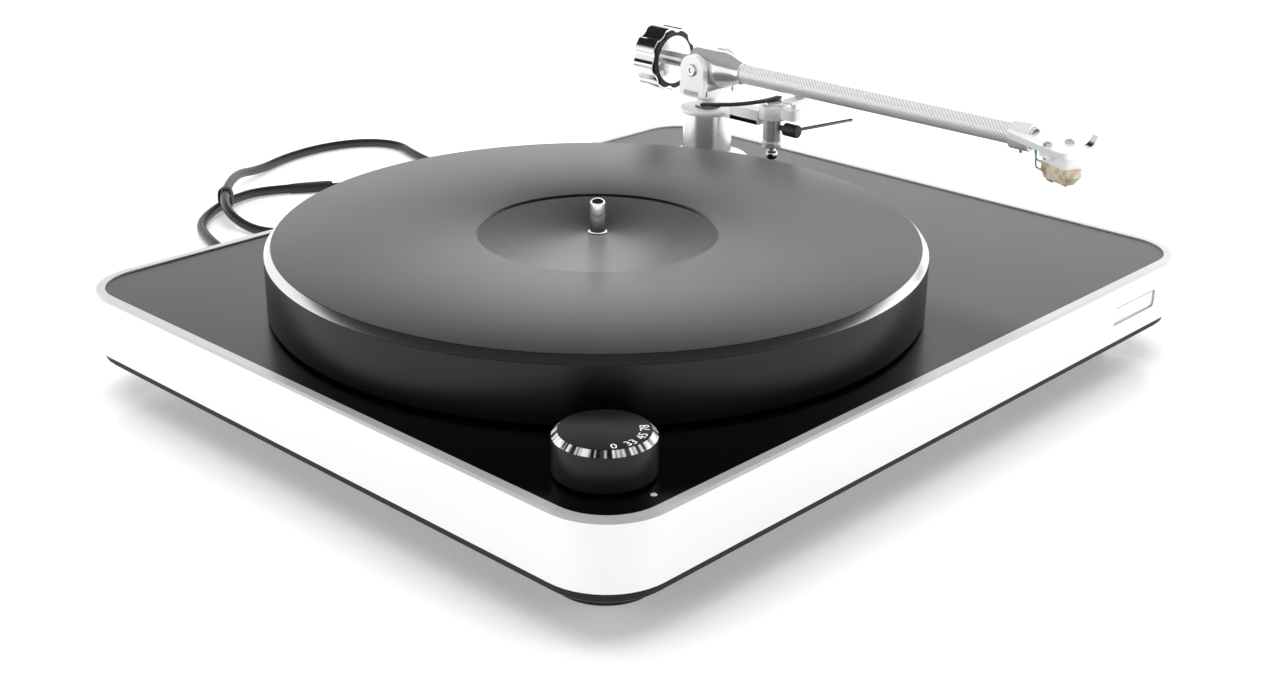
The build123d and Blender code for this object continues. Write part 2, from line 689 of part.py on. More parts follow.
# ---- lift and rest ---------------------------------------------------------
bracket_top = pillar_top + 2.5
blade_top = pillar_top + 8.0
lift_y = pivot_y - lift_reach
rest_y = pivot_y - rest_reach
lift_axis = Plane(origin=(pivot_x, lift_y, 0))
rest_axis = Plane(origin=(pivot_x, rest_y, 0))
lift_top = pivot_z - tube_radius - 5.6
lift_bottom = lift_top - 26.0
lever_z = lift_bottom + 11.5
ring_bottom = lever_z + 4.3   # clamp ring round the lift cylinder, above the lever's shaft
ring_top = lift_top - 2.0
arm_block_bottom = lever_z + 6.1
arm_block_top = ring_top - 1.0
rest_post_radius = 1.8
turning_room = 20.0           # the yoke turns inside this radius
with BuildPart() as lift_bracket:
    with BuildSketch(pivot_axis.offset(pillar_top)):
        Circle(pillar_radius + 1.6)
    extrude(amount=bracket_top - pillar_top)
    with BuildSketch(pivot_axis.offset(pillar_top)):
        with Locations((0, -(lift_reach + 8.0) / 2)):
            Rectangle(9.0, lift_reach - 8.0)
    extrude(amount=blade_top - pillar_top)
    with BuildSketch(pivot_axis.offset(bracket_top)):
        Circle(turning_room)
    extrude(amount=blade_top - bracket_top, mode=Mode.SUBTRACT)
    with BuildSketch(lift_axis.offset(pillar_top)):
        Circle(lift_radius + 3.0)
    extrude(amount=ring_bottom - pillar_top, mode=Mode.SUBTRACT)
    with BuildSketch(lift_axis.offset(ring_bottom)):
        Circle(lift_radius + 2.5)
    extrude(amount=ring_top - ring_bottom)
    with BuildSketch(lift_axis.offset(arm_block_bottom)):
        with Locations((0, -(rest_reach - lift_reach + 3.5) / 2)):
            Rectangle(8.0, rest_reach - lift_reach + 3.5)
    extrude(amount=arm_block_top - arm_block_bottom)
    with BuildSketch(lift_axis.offset(pillar_top)):
        Circle(lift_radius + fit)
    extrude(amount=ring_top - pillar_top, mode=Mode.SUBTRACT)
    with BuildSketch(pivot_axis.offset(pillar_top)):
        Circle(arm_bearing_radius + 0.7)
    extrude(amount=bracket_top - pillar_top, mode=Mode.SUBTRACT)
    with BuildSketch(rest_axis.offset(arm_block_bottom + 1.0)):
        Circle(rest_post_radius + fit)
    extrude(amount=arm_block_top - arm_block_bottom, mode=Mode.SUBTRACT)
lift_bracket.part.label = "lift_bracket"
export_step(lift_bracket.part, "parts/lift_bracket.step")

with BuildPart() as lift_cylinder:
    with BuildSketch(lift_axis.offset(lift_bottom)):
        Circle(lift_radius)
    extrude(amount=lift_top - lift_bottom)
    chamfer(lift_cylinder.edges().group_by(Axis.Z)[-1], 0.6)
    with BuildSketch(lift_axis.offset(lift_bottom + 7.0)):
        Circle(3.6)
    extrude(amount=10.0, mode=Mode.SUBTRACT)
    with BuildSketch(lift_axis.offset(lift_bottom + 17.0)):
        Circle(2.0 + running)
    extrude(amount=lift_top - lift_bottom - 17.0, mode=Mode.SUBTRACT)
    with BuildSketch(Plane(origin=(pivot_x, lift_y - lift_radius, lever_z), z_dir=(0, 1, 0))):
        Circle(1.5 + running)
    extrude(amount=lift_radius + 0.5, mode=Mode.SUBTRACT)
lift_cylinder.part.label = "lift_cylinder"
export_step(lift_cylinder.part, "parts/lift_cylinder.step")

with BuildPart() as lift_adjuster:
    with BuildSketch(lift_axis.offset(lift_bottom - 2.5)):
        Circle(2.0)
    extrude(amount=2.5)
    with BuildSketch(lift_axis.offset(lift_bottom - 7.5)):
        Circle(3.4)
    extrude(amount=5.0)
    fillet(lift_adjuster.edges().group_by(Axis.Z)[0], 2.2)
lift_adjuster.part.label = "lift_adjuster"
export_step(lift_adjuster.part, "parts/lift_adjuster.step")

tube_low = pivot_z - tube_radius
lowered = sin(radians(arm_lowering))
tube_gap = 0.3                # left under the tube when the arm is lowered and the lift is up
bar_top = tube_low - lift_reach * lowered - tube_gap - lift_travel
bar_thickness = 1.5
piston_foot = lever_z + 1.5 + 3.2
with BuildPart() as lift_bar:
    with BuildSketch(pivot_axis.offset(bar_top - bar_thickness)):
        with BuildLine():
            CenterArc((0, 0), lift_reach, -83, -(lift_sweep + 9.0))
        trace(line_width=3.6)
    extrude(amount=bar_thickness)
    with BuildSketch(lift_axis.offset(piston_foot)):
        Circle(2.0)
    extrude(amount=bar_top - piston_foot)
lift_bar.part.label = "lift_bar"
export_step(lift_bar.part, "parts/lift_bar.step")

hub_front = rest_y - 4.0
hub_rear = rest_y + 5.0
lever_tip = (pivot_x + 42.0, rest_y - 9.0, lever_z)
with BuildPart() as cue_lever:
    with BuildSketch(Plane(origin=(pivot_x, lift_y, lever_z), z_dir=(0, -1, 0))):
        Circle(1.5)
    extrude(amount=lift_y - hub_rear)
    with BuildSketch(Plane(origin=(pivot_x, hub_rear, lever_z), z_dir=(0, -1, 0))):
        Circle(3.6)
    extrude(amount=hub_rear - hub_front)
    chamfer(cue_lever.edges().group_by(Axis.Y)[0], 0.6)
    with BuildLine():
        lever_rod = Line((pivot_x, rest_y, lever_z), lever_tip)
    with BuildSketch(Plane(origin=lever_rod @ 0, z_dir=lever_rod % 0)):
        Circle(0.9)
    extrude(amount=lever_rod.length)
cue_lever.part.label = "cue_lever"
export_step(cue_lever.part, "parts/cue_lever.step")

cradle_floor = tube_low - rest_reach * lowered - tube_gap
cradle_thickness = 2.0
wall_start = tube_radius + soft_gap
with BuildPart() as arm_rest:
    with BuildSketch(Plane.XZ.offset(-rest_y - 3.5)):
        with BuildLine():
            Polyline(
                (pivot_x - 6.0, cradle_floor - cradle_thickness),
                (pivot_x + wall_start + 2.0, cradle_floor - cradle_thickness),
                (pivot_x + wall_start + 2.0, pivot_z + 1.0),
                (pivot_x + wall_start, pivot_z + 1.0),
                (pivot_x + wall_start, cradle_floor),
                (pivot_x - 6.0, cradle_floor),
                close=True,
            )
        make_face()
    extrude(amount=7.0)
    with BuildSketch(rest_axis.offset(arm_block_bottom + 1.0)):
        Circle(rest_post_radius)
    extrude(amount=cradle_floor - cradle_thickness - arm_block_bottom - 1.0)
arm_rest.part.label = "arm_rest"
export_step(arm_rest.part, "parts/arm_rest.step")

# ---- yoke ------------------------------------------------------------------
yoke_bottom = bracket_top + 1.0
yoke_bar = pivot_z - block_radius - 5.6
cheek_inner = block_radius + cheek_gap
cheek_outer = cheek_inner + cheek_thickness
cheek_width = 17.0
with BuildPart() as arm_axle:
    with BuildSketch(pivot_axis.offset(axle_bottom)):
        Circle(axle_radius)
        Circle(axle_bore, mode=Mode.SUBTRACT)
    extrude(amount=yoke_bottom + 4.0 - axle_bottom)
arm_axle.part.label = "arm_axle"
export_step(arm_axle.part, "parts/arm_axle.step")

with BuildPart() as yoke:
    with BuildSketch(pivot_axis.offset(yoke_bottom)):
        Circle(6.4)
    extrude(amount=yoke_bar - yoke_bottom)
    with BuildSketch(pivot_axis.offset(yoke_bar)):
        RectangleRounded(2 * cheek_outer, cheek_width, 3.0)
    extrude(amount=4.0)
    with BuildSketch(
        Plane(origin=(pivot_x - cheek_outer, pivot_y, 0), x_dir=(0, 1, 0), z_dir=(1, 0, 0))
    ):
        with Locations((0, pivot_z)):
            Circle(cheek_width / 2)
        with Locations((0, (pivot_z + yoke_bar + 4.0) / 2)):
            Rectangle(cheek_width, pivot_z - yoke_bar - 4.0)
    extrude(amount=2 * cheek_outer)
    with BuildSketch(pivot_axis.offset(yoke_bar + 4.0)):
        Rectangle(2 * cheek_inner, cheek_width + 2.0)
    extrude(amount=2 * cheek_width, mode=Mode.SUBTRACT)
    with BuildSketch(Plane(origin=(pivot_x - cheek_outer, pivot_y, pivot_z), z_dir=(1, 0, 0))):
        Circle(pivot_pin_radius + fit)
    extrude(amount=2 * cheek_outer, mode=Mode.SUBTRACT)
    with BuildSketch(pivot_axis.offset(yoke_bottom)):
        Circle(axle_radius + fit)
    extrude(amount=4.0, mode=Mode.SUBTRACT)
    with BuildSketch(pivot_axis.offset(yoke_bottom)):
        Circle(axle_bore)
    extrude(amount=yoke_bar + 4.0 - yoke_bottom, mode=Mode.SUBTRACT)
yoke.part.label = "yoke"
export_step(yoke.part, "parts/yoke.step")

pin_depth = 4.0
with BuildPart() as pivot_pins:
    for side in (-1, 1):
        with BuildSketch(
            Plane(origin=(pivot_x + side * (cheek_outer + 1.0), pivot_y, pivot_z), z_dir=(-side, 0, 0))
        ):
            Circle(pivot_pin_radius)
        extrude(amount=cheek_outer + 1.0 - block_radius + pin_depth)
        with BuildSketch(
            Plane(origin=(pivot_x + side * cheek_outer, pivot_y, pivot_z), z_dir=(side, 0, 0))
        ):
            Circle(3.4)
        extrude(amount=1.2)
pivot_pins.part.label = "pivot_pins"
export_step(pivot_pins.part, "parts/pivot_pins.step")

# ---- tonearm ---------------------------------------------------------------
block_front = 9.0
flare_end = 26.0
weight_length = 15.5
stub_end = weight_near + weight_length - 1.0
socket_depth = 9.0
with BuildPart() as bearing_block:
    with BuildSketch(arm_line.offset(-block_front)):
        Circle(block_radius)
    extrude(amount=2 * block_front)
    with BuildSketch(arm_line.offset(block_front)):
        Circle(block_radius)
    with BuildSketch(arm_line.offset(flare_end)):
        Circle(tube_radius + 0.9)
    loft()
    with BuildSketch(arm_line.offset(flare_end)):
        Circle(tube_radius + fit)
    extrude(amount=-socket_depth, mode=Mode.SUBTRACT)
    with BuildSketch(Plane(origin=(pivot_x - block_radius, pivot_y, pivot_z), z_dir=(1, 0, 0))):
        Circle(pivot_pin_radius + running)
    extrude(amount=pin_depth + 0.3, mode=Mode.SUBTRACT)
    with BuildSketch(Plane(origin=(pivot_x + block_radius, pivot_y, pivot_z), z_dir=(-1, 0, 0))):
        Circle(pivot_pin_radius + running)
    extrude(amount=pin_depth + 0.3, mode=Mode.SUBTRACT)
    with BuildSketch(arm_line.offset(-block_front)):
        Circle(stub_radius)
    extrude(amount=-(stub_end - block_front))
bearing_block.part.label = "bearing_block"
export_step(bearing_block.part, "parts/bearing_block.step")

tube_tip = tube_end + 5.0
with BuildPart() as arm_tube:
    with BuildSketch(arm_line.offset(flare_end - socket_depth)):
        Circle(tube_radius)
        Circle(tube_radius - tube_wall, mode=Mode.SUBTRACT)
    extrude(amount=tube_tip - flare_end + socket_depth)
arm_tube.part.label = "arm_tube"
export_step(arm_tube.part, "parts/arm_tube.step")

flute_count = 8
with BuildPart() as counterweight:
    with BuildSketch(arm_line.offset(-weight_near)):
        with Locations((0, -weight_drop)):
            Circle(weight_radius)
            with PolarLocations(weight_radius + 5.6, flute_count, start_angle=11):
                Circle(7.2, mode=Mode.SUBTRACT)
        Circle(stub_radius + running, mode=Mode.SUBTRACT)
    extrude(amount=-weight_length)
    chamfer(counterweight.faces().sort_by(Axis.Y)[-1].outer_wire().edges(), 1.0)
    chamfer(counterweight.faces().sort_by(Axis.Y)[0].outer_wire().edges(), 1.0)
counterweight.part.label = "counterweight"
export_step(counterweight.part, "parts/counterweight.step")

# ---- headshell and cartridge -----------------------------------------------
shell_bottom = -0.3           # levels below are measured from the tube axis
shell_top = 2.7
shell_width = 19.0
shell_length = 46.0
mount_spacing = 12.7
mount_setback = 9.5           # cartridge screws to the stylus
mount_x = shell_reach - mount_setback
collar_length = 11.0
with BuildPart() as headshell:
    with BuildSketch(shell_plane.offset(shell_bottom)):
        with Locations((shell_length / 2 - 4.0, 0)):
            RectangleRounded(shell_length, shell_width, 3.0)
        with Locations((mount_x, mount_spacing / 2), (mount_x, -mount_spacing / 2)):
            Circle(1.3 + screw_gap, mode=Mode.SUBTRACT)
    extrude(amount=shell_top - shell_bottom)
    with BuildSketch(arm_line.offset(tube_tip - 1.0)):
        Circle(tube_radius + 1.7)
    extrude(amount=-collar_length)
    with BuildSketch(arm_line.offset(tube_tip + running)):
        Circle(tube_radius + fit)
    extrude(amount=-collar_length - 3.0, mode=Mode.SUBTRACT)
    with BuildSketch(arm_line.offset(tube_tip + running)):
        with Locations((0, -tube_radius)):
            Rectangle(2 * shell_width, 2 * tube_radius + 2 * shell_bottom)
    extrude(amount=1.0 + 2 * running, mode=Mode.SUBTRACT)
    with BuildSketch(Plane(origin=(pivot_x, pivot_y - tube_end + 2.0, pivot_z - tube_radius - 3.0))):
        Circle(1.1)
    extrude(amount=4.0, mode=Mode.SUBTRACT)
headshell.part.label = "headshell"
export_step(headshell.part, "parts/headshell.step")

finger_plane = Plane(
    origin=shell_plane.from_local_coords((30.0, shell_width / 2, 0)),
    x_dir=shell_plane.y_dir,
    z_dir=shell_plane.x_dir,
)
finger_thickness = 1.2
with BuildPart() as finger_lift:
    with BuildSketch(finger_plane):
        with BuildLine():
            FilletPolyline((finger_thickness / 2, 1.2), (5.0, 1.2), (8.5, 6.5), radius=3.0)
        trace(line_width=finger_thickness)
        with Locations((-2.0, 1.2)):
            Rectangle(4.0, 2 * finger_thickness, mode=Mode.SUBTRACT)
    extrude(amount=2.5, both=True)
finger_lift.part.label = "finger_lift"
export_step(finger_lift.part, "parts/finger_lift.step")

block_length = 21.0
block_rear = 19.0
block_width = 9.6
flange_length = 9.0
flange_width = 17.0
flange_depth = 2.5
body_top = -6.3
body_bottom = -14.4
with BuildPart() as cartridge_mount:
    with BuildSketch(shell_plane.offset(shell_bottom)):
        with Locations((mount_x, 0)):
            RectangleRounded(flange_length, flange_width, 2.0)
        with Locations((mount_x, mount_spacing / 2), (mount_x, -mount_spacing / 2)):
            Circle(1.3 + screw_gap, mode=Mode.SUBTRACT)
    extrude(amount=-flange_depth)
    with BuildSketch(shell_plane.offset(shell_bottom)):
        with Locations((block_rear + block_length / 2, 0)):
            RectangleRounded(block_length - 2.0, block_width, 1.5)
    extrude(amount=body_top - shell_bottom)
cartridge_mount.part.label = "cartridge_mount"
export_step(cartridge_mount.part, "parts/cartridge_mount.step")

pin_places = [(y, z) for y in (-2.6, 2.6) for z in (-7.8, -11.6)]
with BuildPart() as cartridge_body:
    with BuildSketch(shell_plane.offset(body_top)):
        with Locations((block_rear + block_length / 2, 0)):
            RectangleRounded(block_length, block_width, 1.5)
    extrude(amount=-4.0)
    with BuildSketch(shell_plane.offset(body_top - 4.0)):
        with Locations((block_rear + block_length / 2, 0)):
            RectangleRounded(block_length, block_width, 1.5)
    with BuildSketch(shell_plane.offset(body_bottom)):
        with Locations((block_rear + block_length / 2 - 1.0, 0)):
            RectangleRounded(block_length - 4.0, block_width - 3.0, 1.5)
    loft()
    # four connection pins moulded into the back
    for y, z in pin_places:
        with BuildSketch(
            Plane(shell_plane.location * Location((block_rear + 1.5, y, z), (0, -90, 0)))
        ):
            Circle(0.6)
        extrude(amount=5.0)
cartridge_body.part.label = "cartridge_body"
export_step(cartridge_body.part, "parts/cartridge_body.step")

with BuildPart() as headshell_screws:
    with BuildSketch(shell_plane.offset(shell_top)):
        with Locations((mount_x, mount_spacing / 2), (mount_x, -mount_spacing / 2)):
            Circle(2.3)
    extrude(amount=1.6)
    with BuildSketch(shell_plane.offset(shell_top)):
        with Locations((mount_x, mount_spacing / 2), (mount_x, -mount_spacing / 2)):
            Circle(1.3)
    extrude(amount=shell_bottom - flange_depth - 1.0 - shell_top)
    # clamp screw under the tube
    with BuildSketch(Plane(origin=(pivot_x, pivot_y - tube_end + 2.0, tube_low - fit))):
        Circle(1.1 - fit)
    extrude(amount=-3.2)
headshell_screws.part.label = "headshell_screws"
export_step(headshell_screws.part, "parts/headshell_screws.step")

with BuildPart() as stylus:
    with BuildSketch(Plane(shell_plane.location * Location((24.0, 0, body_bottom), (0, 0, 0)))):
        Rectangle(6.0, 4.0)
    extrude(amount=-1.4)
    with BuildLine():
        cantilever = Line(
            shell_plane.from_local_coords((26.5, 0, body_bottom - 0.7)),
            shell_plane.from_local_coords((shell_reach + 0.4, 0, -stylus_drop + 0.9)),
        )
    with BuildSketch(Plane(origin=cantilever @ 0, z_dir=cantilever % 0)):
        Circle(0.35)
    extrude(amount=cantilever.length)
    with BuildSketch(Plane(shell_plane.location * Location((shell_reach, 0, -stylus_drop), (0, 0, 0)))):
        Circle(0.12)
    extrude(amount=0.9)
stylus.part.label = "stylus"
export_step(stylus.part, "parts/stylus.step")

lead_radius = 0.45
with BuildPart() as cartridge_leads:
    for (y, z), mouth in zip(pin_places, (-3.0, -1.0, 1.0, 3.0)):
        mouth_point = Vector(pivot_x + mouth, pivot_y - tube_tip - 0.2, pivot_z - tube_radius + 2.8)
        pin_tip = shell_plane.from_local_coords((block_rear - 3.6, y, z))
        before_pin = shell_plane.from_local_coords((block_rear - 6.2, y, z))
        with BuildLine():
            lead_line = FilletPolyline(
                mouth_point, mouth_point + Vector(0, -1.6, 0), before_pin, pin_tip, radius=0.9
            )
        with BuildSketch(Plane(origin=lead_line @ 0, z_dir=lead_line % 0)):
            Circle(lead_radius)
        sweep(path=lead_line)
cartridge_leads.part.label = "cartridge_leads"
export_step(cartridge_leads.part, "parts/cartridge_leads.step")

# ---- phono lead ------------------------------------------------------------
lead_z = lead_diameter / 2 + 0.2
under_z = lead_z + 0.8        # over the tie's band
over_z = under_z + lead_diameter + 1.0
lead_route = [
    (pivot_x, relief_end, panel_z),
    (pivot_x, 228.0, panel_z),
    (150.5, 254.0, 24.0),
    (147.0, 282.0, 9.0),
    (143.5, 309.0, lead_z),
    (143.5, 335.0, lead_z),
    (148.5, 361.0, lead_z),
    (156.5, 386.0, lead_z),
    (144.0, 408.0, lead_z),
    (116.0, 418.0, lead_z),
    (82.0, 415.0, lead_z),
    (52.0, 403.0, lead_z),
    (20.0, 386.0, over_z),
    (-22.0, 337.0, over_z),
    (-25.0, 305.0, lead_z),
    (-12.0, 280.0, lead_z),
    (-10.0, 254.0, lead_z),
    (-32.0, 238.0, lead_z),
    (-54.0, 254.0, lead_z),
    (-57.0, 284.0, lead_z),
    (-50.0, 311.0, lead_z),
    (-40.0, 334.0, lead_z),
    (-19.0, 350.0, under_z),
    (6.0, 361.0, under_z),
    (27.0, 363.5, lead_z),
    (41.5, 355.0, lead_z),
]
splitter_length = 27.0
splitter_start = Vector(*lead_route[-1])
splitter_way = (splitter_start - Vector(*lead_route[-2])).normalized()
splitter_side = Vector(-splitter_way.Y, splitter_way.X, 0)
splitter_end = splitter_start + splitter_way * splitter_length
leg_z = leg_diameter / 2 + 0.2
plug_radius = 4.8
plug_z = plug_radius + 0.1
leg_spread = 2.6
leg_starts = {}
leg_turns = {}
for side, step in (("left", leg_spread), ("right", -leg_spread)):
    start = splitter_end + splitter_side * step
    leg_starts[side] = (start.X, start.Y)
    leg_turns[side] = (start.X + 12.5 * splitter_way.X, start.Y + 12.5 * splitter_way.Y)
leg_routes = {
    "left": [
        (*leg_starts["left"], leg_z),
        (*leg_turns["left"], leg_z),
        (97.0, 345.0, leg_z),
        (115.0, 337.0, leg_z),
        (124.0, 318.0, leg_z),
        (122.5, 297.0, leg_z + 0.6),
        (121.0, 278.0, plug_z),
        (121.0, 263.0, plug_z),
    ],
    "right": [
        (*leg_starts["right"], leg_z),
        (*leg_turns["right"], leg_z),
        (92.0, 325.0, leg_z),
        (103.0, 310.0, leg_z),
        (101.0, 290.0, leg_z + 0.6),
        (99.0, 272.0, plug_z),
        (99.0, 258.0, plug_z),
    ],
}


def corner_radii(points):
    """Radius of each inner corner: 0.45 of the shorter run over the tangent of half the turn."""
    radii = []
    for before, at, after in zip(points, points[1:], points[2:]):
        run_in = Vector(*at) - Vector(*before)
        run_out = Vector(*after) - Vector(*at)
        half_turn = radians(run_in.get_angle(run_out)) / 2
        radii.append(0.45 * min(run_in.length, run_out.length) / tan(half_turn))
    return radii


def cord_tube(points, diameter):
    """Round cord along straight runs joined by tangent arcs."""
    with BuildPart() as tube:
        with BuildLine():
            path = FilletPolyline(*points, radius=corner_radii(points))
        with BuildSketch(Plane(origin=path @ 0, z_dir=path % 0)):
            Circle(diameter / 2)
        sweep(path=path)
    section = pi * diameter ** 2 / 4
    print(
        "cord length", round(path.length, 1),
        "volume share", round(tube.part.volume / (section * path.length), 4),
        "radii", [round(r, 1) for r in corner_radii(points)],
    )
    return tube.part


phono_lead = cord_tube([Vector(*p) for p in lead_route], lead_diameter)
phono_lead.label = "phono_lead"
export_step(phono_lead, "parts/phono_lead.step")

splitter_plane = Plane(origin=splitter_start, x_dir=splitter_side, z_dir=splitter_way)
with BuildPart() as lead_splitter:
    with BuildSketch(splitter_plane):
        RectangleRounded(lead_diameter + 1.0, lead_diameter, 2.7)
    with BuildSketch(splitter_plane.offset(8.0)):
        RectangleRounded(10.0, lead_diameter, 2.7)
    loft()
    with BuildSketch(splitter_plane.offset(8.0)):
        RectangleRounded(10.0, lead_diameter, 2.7)
    extrude(amount=splitter_length - 8.0)
lead_splitter.part.label = "lead_splitter"
export_step(lead_splitter.part, "parts/lead_splitter.step")

plug_ends = []
for side, points in leg_routes.items():
    points = [Vector(*p) for p in points]
    leg = cord_tube(points, leg_diameter)
    leg.label = f"{side}_leg"
    export_step(leg, f"parts/{side}_leg.step")
    plug_ends.append((points[-1], (points[-1] - points[-2]).normalized()))

with BuildPart() as phono_plugs:
    for end, way in plug_ends:
        plug_plane = Plane(origin=end, x_dir=(1, 0, 0), z_dir=way)
        with BuildSketch(plug_plane):
            Circle(2.6)
        with BuildSketch(plug_plane.offset(10.0)):
            Circle(plug_radius)
        loft()
        with BuildSketch(plug_plane.offset(10.0)):
            Circle(plug_radius)
        extrude(amount=20.0)
        with BuildSketch(plug_plane.offset(30.0)):
            Circle(4.15)
            Circle(3.6, mode=Mode.SUBTRACT)
        extrude(amount=8.0)
        with BuildSketch(plug_plane.offset(30.0)):
            Circle(1.6)
        extrude(amount=14.5)
phono_plugs.part.label = "phono_plugs"
export_step(phono_plugs.part, "parts/phono_plugs.step")
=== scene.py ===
import bmesh
import bpy
from math import cos, pi, radians, sin, sqrt
from mathutils import Matrix, Vector


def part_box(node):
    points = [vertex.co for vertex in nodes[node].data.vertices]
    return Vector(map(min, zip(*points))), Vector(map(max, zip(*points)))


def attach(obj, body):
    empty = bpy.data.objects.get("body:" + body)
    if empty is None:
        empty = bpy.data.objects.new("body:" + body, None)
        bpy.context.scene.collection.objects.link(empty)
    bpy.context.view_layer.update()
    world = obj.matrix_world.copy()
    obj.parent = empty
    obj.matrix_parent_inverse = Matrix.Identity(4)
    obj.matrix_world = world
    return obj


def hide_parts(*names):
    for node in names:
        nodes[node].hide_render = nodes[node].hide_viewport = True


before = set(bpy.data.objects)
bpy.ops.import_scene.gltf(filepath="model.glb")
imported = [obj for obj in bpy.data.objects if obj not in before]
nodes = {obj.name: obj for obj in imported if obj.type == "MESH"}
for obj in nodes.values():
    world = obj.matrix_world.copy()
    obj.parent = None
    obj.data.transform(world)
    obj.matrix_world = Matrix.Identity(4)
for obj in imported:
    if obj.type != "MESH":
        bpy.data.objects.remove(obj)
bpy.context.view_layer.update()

# ---- Studio -------------------------------------------------------------------
# A pale sweep under soft light from above and a bright wall behind and beside the
# deck, seen from the front left at a low angle.
view_azimuth, view_height, view_roll = radians(-46.629), radians(22.561), radians(0.575)
view_back = Vector((
    sin(view_azimuth) * cos(view_height), -cos(view_azimuth) * cos(view_height), sin(view_height),
))
level_right = Vector((cos(view_azimuth), sin(view_azimuth), 0))
level_up = view_back.cross(level_right)
view_right = level_right * cos(view_roll) + level_up * sin(view_roll)
view_up = view_back.cross(view_right)
view_axes = Matrix((view_right, view_up, view_back)).transposed().to_4x4()
camera_place = (-0.5786, -0.5340, 0.3346)
camera = bpy.data.objects.new("camera", bpy.data.cameras.new("camera"))
camera.matrix_world = Matrix.Translation(camera_place) @ view_axes
camera.data.sensor_width = 36
camera.data.lens = 49.25
camera.data.clip_start = 0.02
bpy.context.scene.collection.objects.link(camera)
bpy.context.scene.camera = camera
bpy.context.scene.view_settings.view_transform = "Standard"


def add_node(tree, kind, *values, **settings):
    """Adds a node to a tree. Each value goes to the next input, linked where it is a socket."""
    made = tree.nodes.new(kind)
    for key, value in settings.items():
        setattr(made, key, value)
    for place, value in enumerate(values):
        if isinstance(value, bpy.types.NodeSocket):
            tree.links.new(value, made.inputs[place])
        elif value is not None:
            made.inputs[place].default_value = value
    return made


def maths(tree, operation, first, second=None):
    """Output of one maths node."""
    return add_node(tree, "ShaderNodeMath", first, second, operation=operation).outputs[0]


def ramp_between(tree, value, low, high, from_low=0.0, from_high=1.0):
    """Output of a map range node, held inside low and high."""
    return add_node(
        tree, "ShaderNodeMapRange", value, from_low, from_high, low, high, interpolation_type="SMOOTHSTEP"
    ).outputs[0]


def mix_colours(tree, factor, first, second):
    """Output of a colour mix node."""
    made = tree.nodes.new("ShaderNodeMix")
    made.data_type = "RGBA"
    for place, value in ((0, factor), (6, first), (7, second)):
        if isinstance(value, bpy.types.NodeSocket):
            tree.links.new(value, made.inputs[place])
        else:
            made.inputs[place].default_value = value
    return made.outputs[2]


def new_material(name, colour, roughness, metallic=0.0, **sockets):
    """A material with its own Principled shader; returns it with its tree and shader."""
    made = bpy.data.materials.new(name)
    made.use_nodes = True
    shader = made.node_tree.nodes["Principled BSDF"]
    shader.inputs["Base Color"].default_value = (*colour, 1)
    shader.inputs["Roughness"].default_value = roughness
    shader.inputs["Metallic"].default_value = metallic
    made.diffuse_color = (*colour, 1)
    for key, value in sockets.items():
        shader.inputs[key.replace("_", " ")].default_value = value
    return made, made.node_tree, shader


def press_in(tree, shader, height, distance, strength=1.0):
    """Feeds a height into the shader's normal."""
    made = tree.nodes.new("ShaderNodeBump")
    made.inputs["Strength"].default_value = strength
    made.inputs["Distance"].default_value = distance
    tree.links.new(height, made.inputs["Height"])
    tree.links.new(made.outputs[0], shader.inputs["Normal"])


def place_on(tree):
    """The point being shaded, in the piece's own coordinates."""
    return add_node(tree, "ShaderNodeTexCoord").outputs["Object"]


def noise(tree, place, scale, detail, roughness=0.5):
    """Output of a noise texture read at a point."""
    return add_node(tree, "ShaderNodeTexNoise", place, None, scale, detail, roughness).outputs[0]


world = bpy.data.worlds.new("studio")
bpy.context.scene.world = world
world.use_nodes = True
sky = world.node_tree
direction = add_node(sky, "ShaderNodeTexCoord").outputs["Generated"]
height = add_node(sky, "ShaderNodeSeparateXYZ", direction).outputs[2]
wall = ramp_between(sky, height, 1.0, 0.0, 0.4, 0.51)
sideways = add_node(sky, "ShaderNodeSeparateXYZ", direction).outputs[0]
lit_side = ramp_between(sky, sideways, 0.8, 1.15, 0.4, 0.95)
wall_colour = mix_colours(sky, lit_side, (0.0, 0.0, 0.0, 1), (1.35, 1.33, 1.34, 1))
sky_colour = mix_colours(sky, wall, (0.02, 0.02, 0.0205, 1), wall_colour)
sky.links.new(sky_colour, sky.nodes["Background"].inputs["Color"])
sky.nodes["Background"].inputs["Strength"].default_value = 1.0

floor_mesh = bpy.data.meshes.new("floor")
floor_mesh.from_pydata([(-8, -8, 0), (8, -8, 0), (8, 8, 0), (-8, 8, 0)], [], [(0, 1, 2, 3)])
floor = bpy.data.objects.new("floor", floor_mesh)
bpy.context.scene.collection.objects.link(floor)
floor_paint, tree, shader = new_material("floor", (0.88, 0.895, 0.89), 0.2, Specular_IOR_Level=0.5)
press_in(tree, shader, noise(tree, place_on(tree), 160.0, 3.0), 0.0006, 0.25)
shader.inputs["Emission Color"].default_value = (0.96, 1.0, 0.99, 1)
shader.inputs["Emission Strength"].default_value = 0.22
floor_mesh.materials.append(floor_paint)

for name, place, size, power in (
    ("overhead", (0.1, 0.2, 2.2), 3.0, 70.0),
    ("left_panel", (-1.3, 0.9, 0.35), 1.0, 13.0),
    ("front_panel", (1.0, -1.3, 0.35), 1.0, 13.0),
):
    lamp = bpy.data.lights.new(name, "AREA")
    lamp.size = size
    lamp.energy = power
    placed = bpy.data.objects.new(name, lamp)
    placed.location = place
    placed.rotation_euler = (-Vector(place)).to_track_quat("-Z", "Y").to_euler()
    placed.visible_glossy = False
    bpy.context.scene.collection.objects.link(placed)


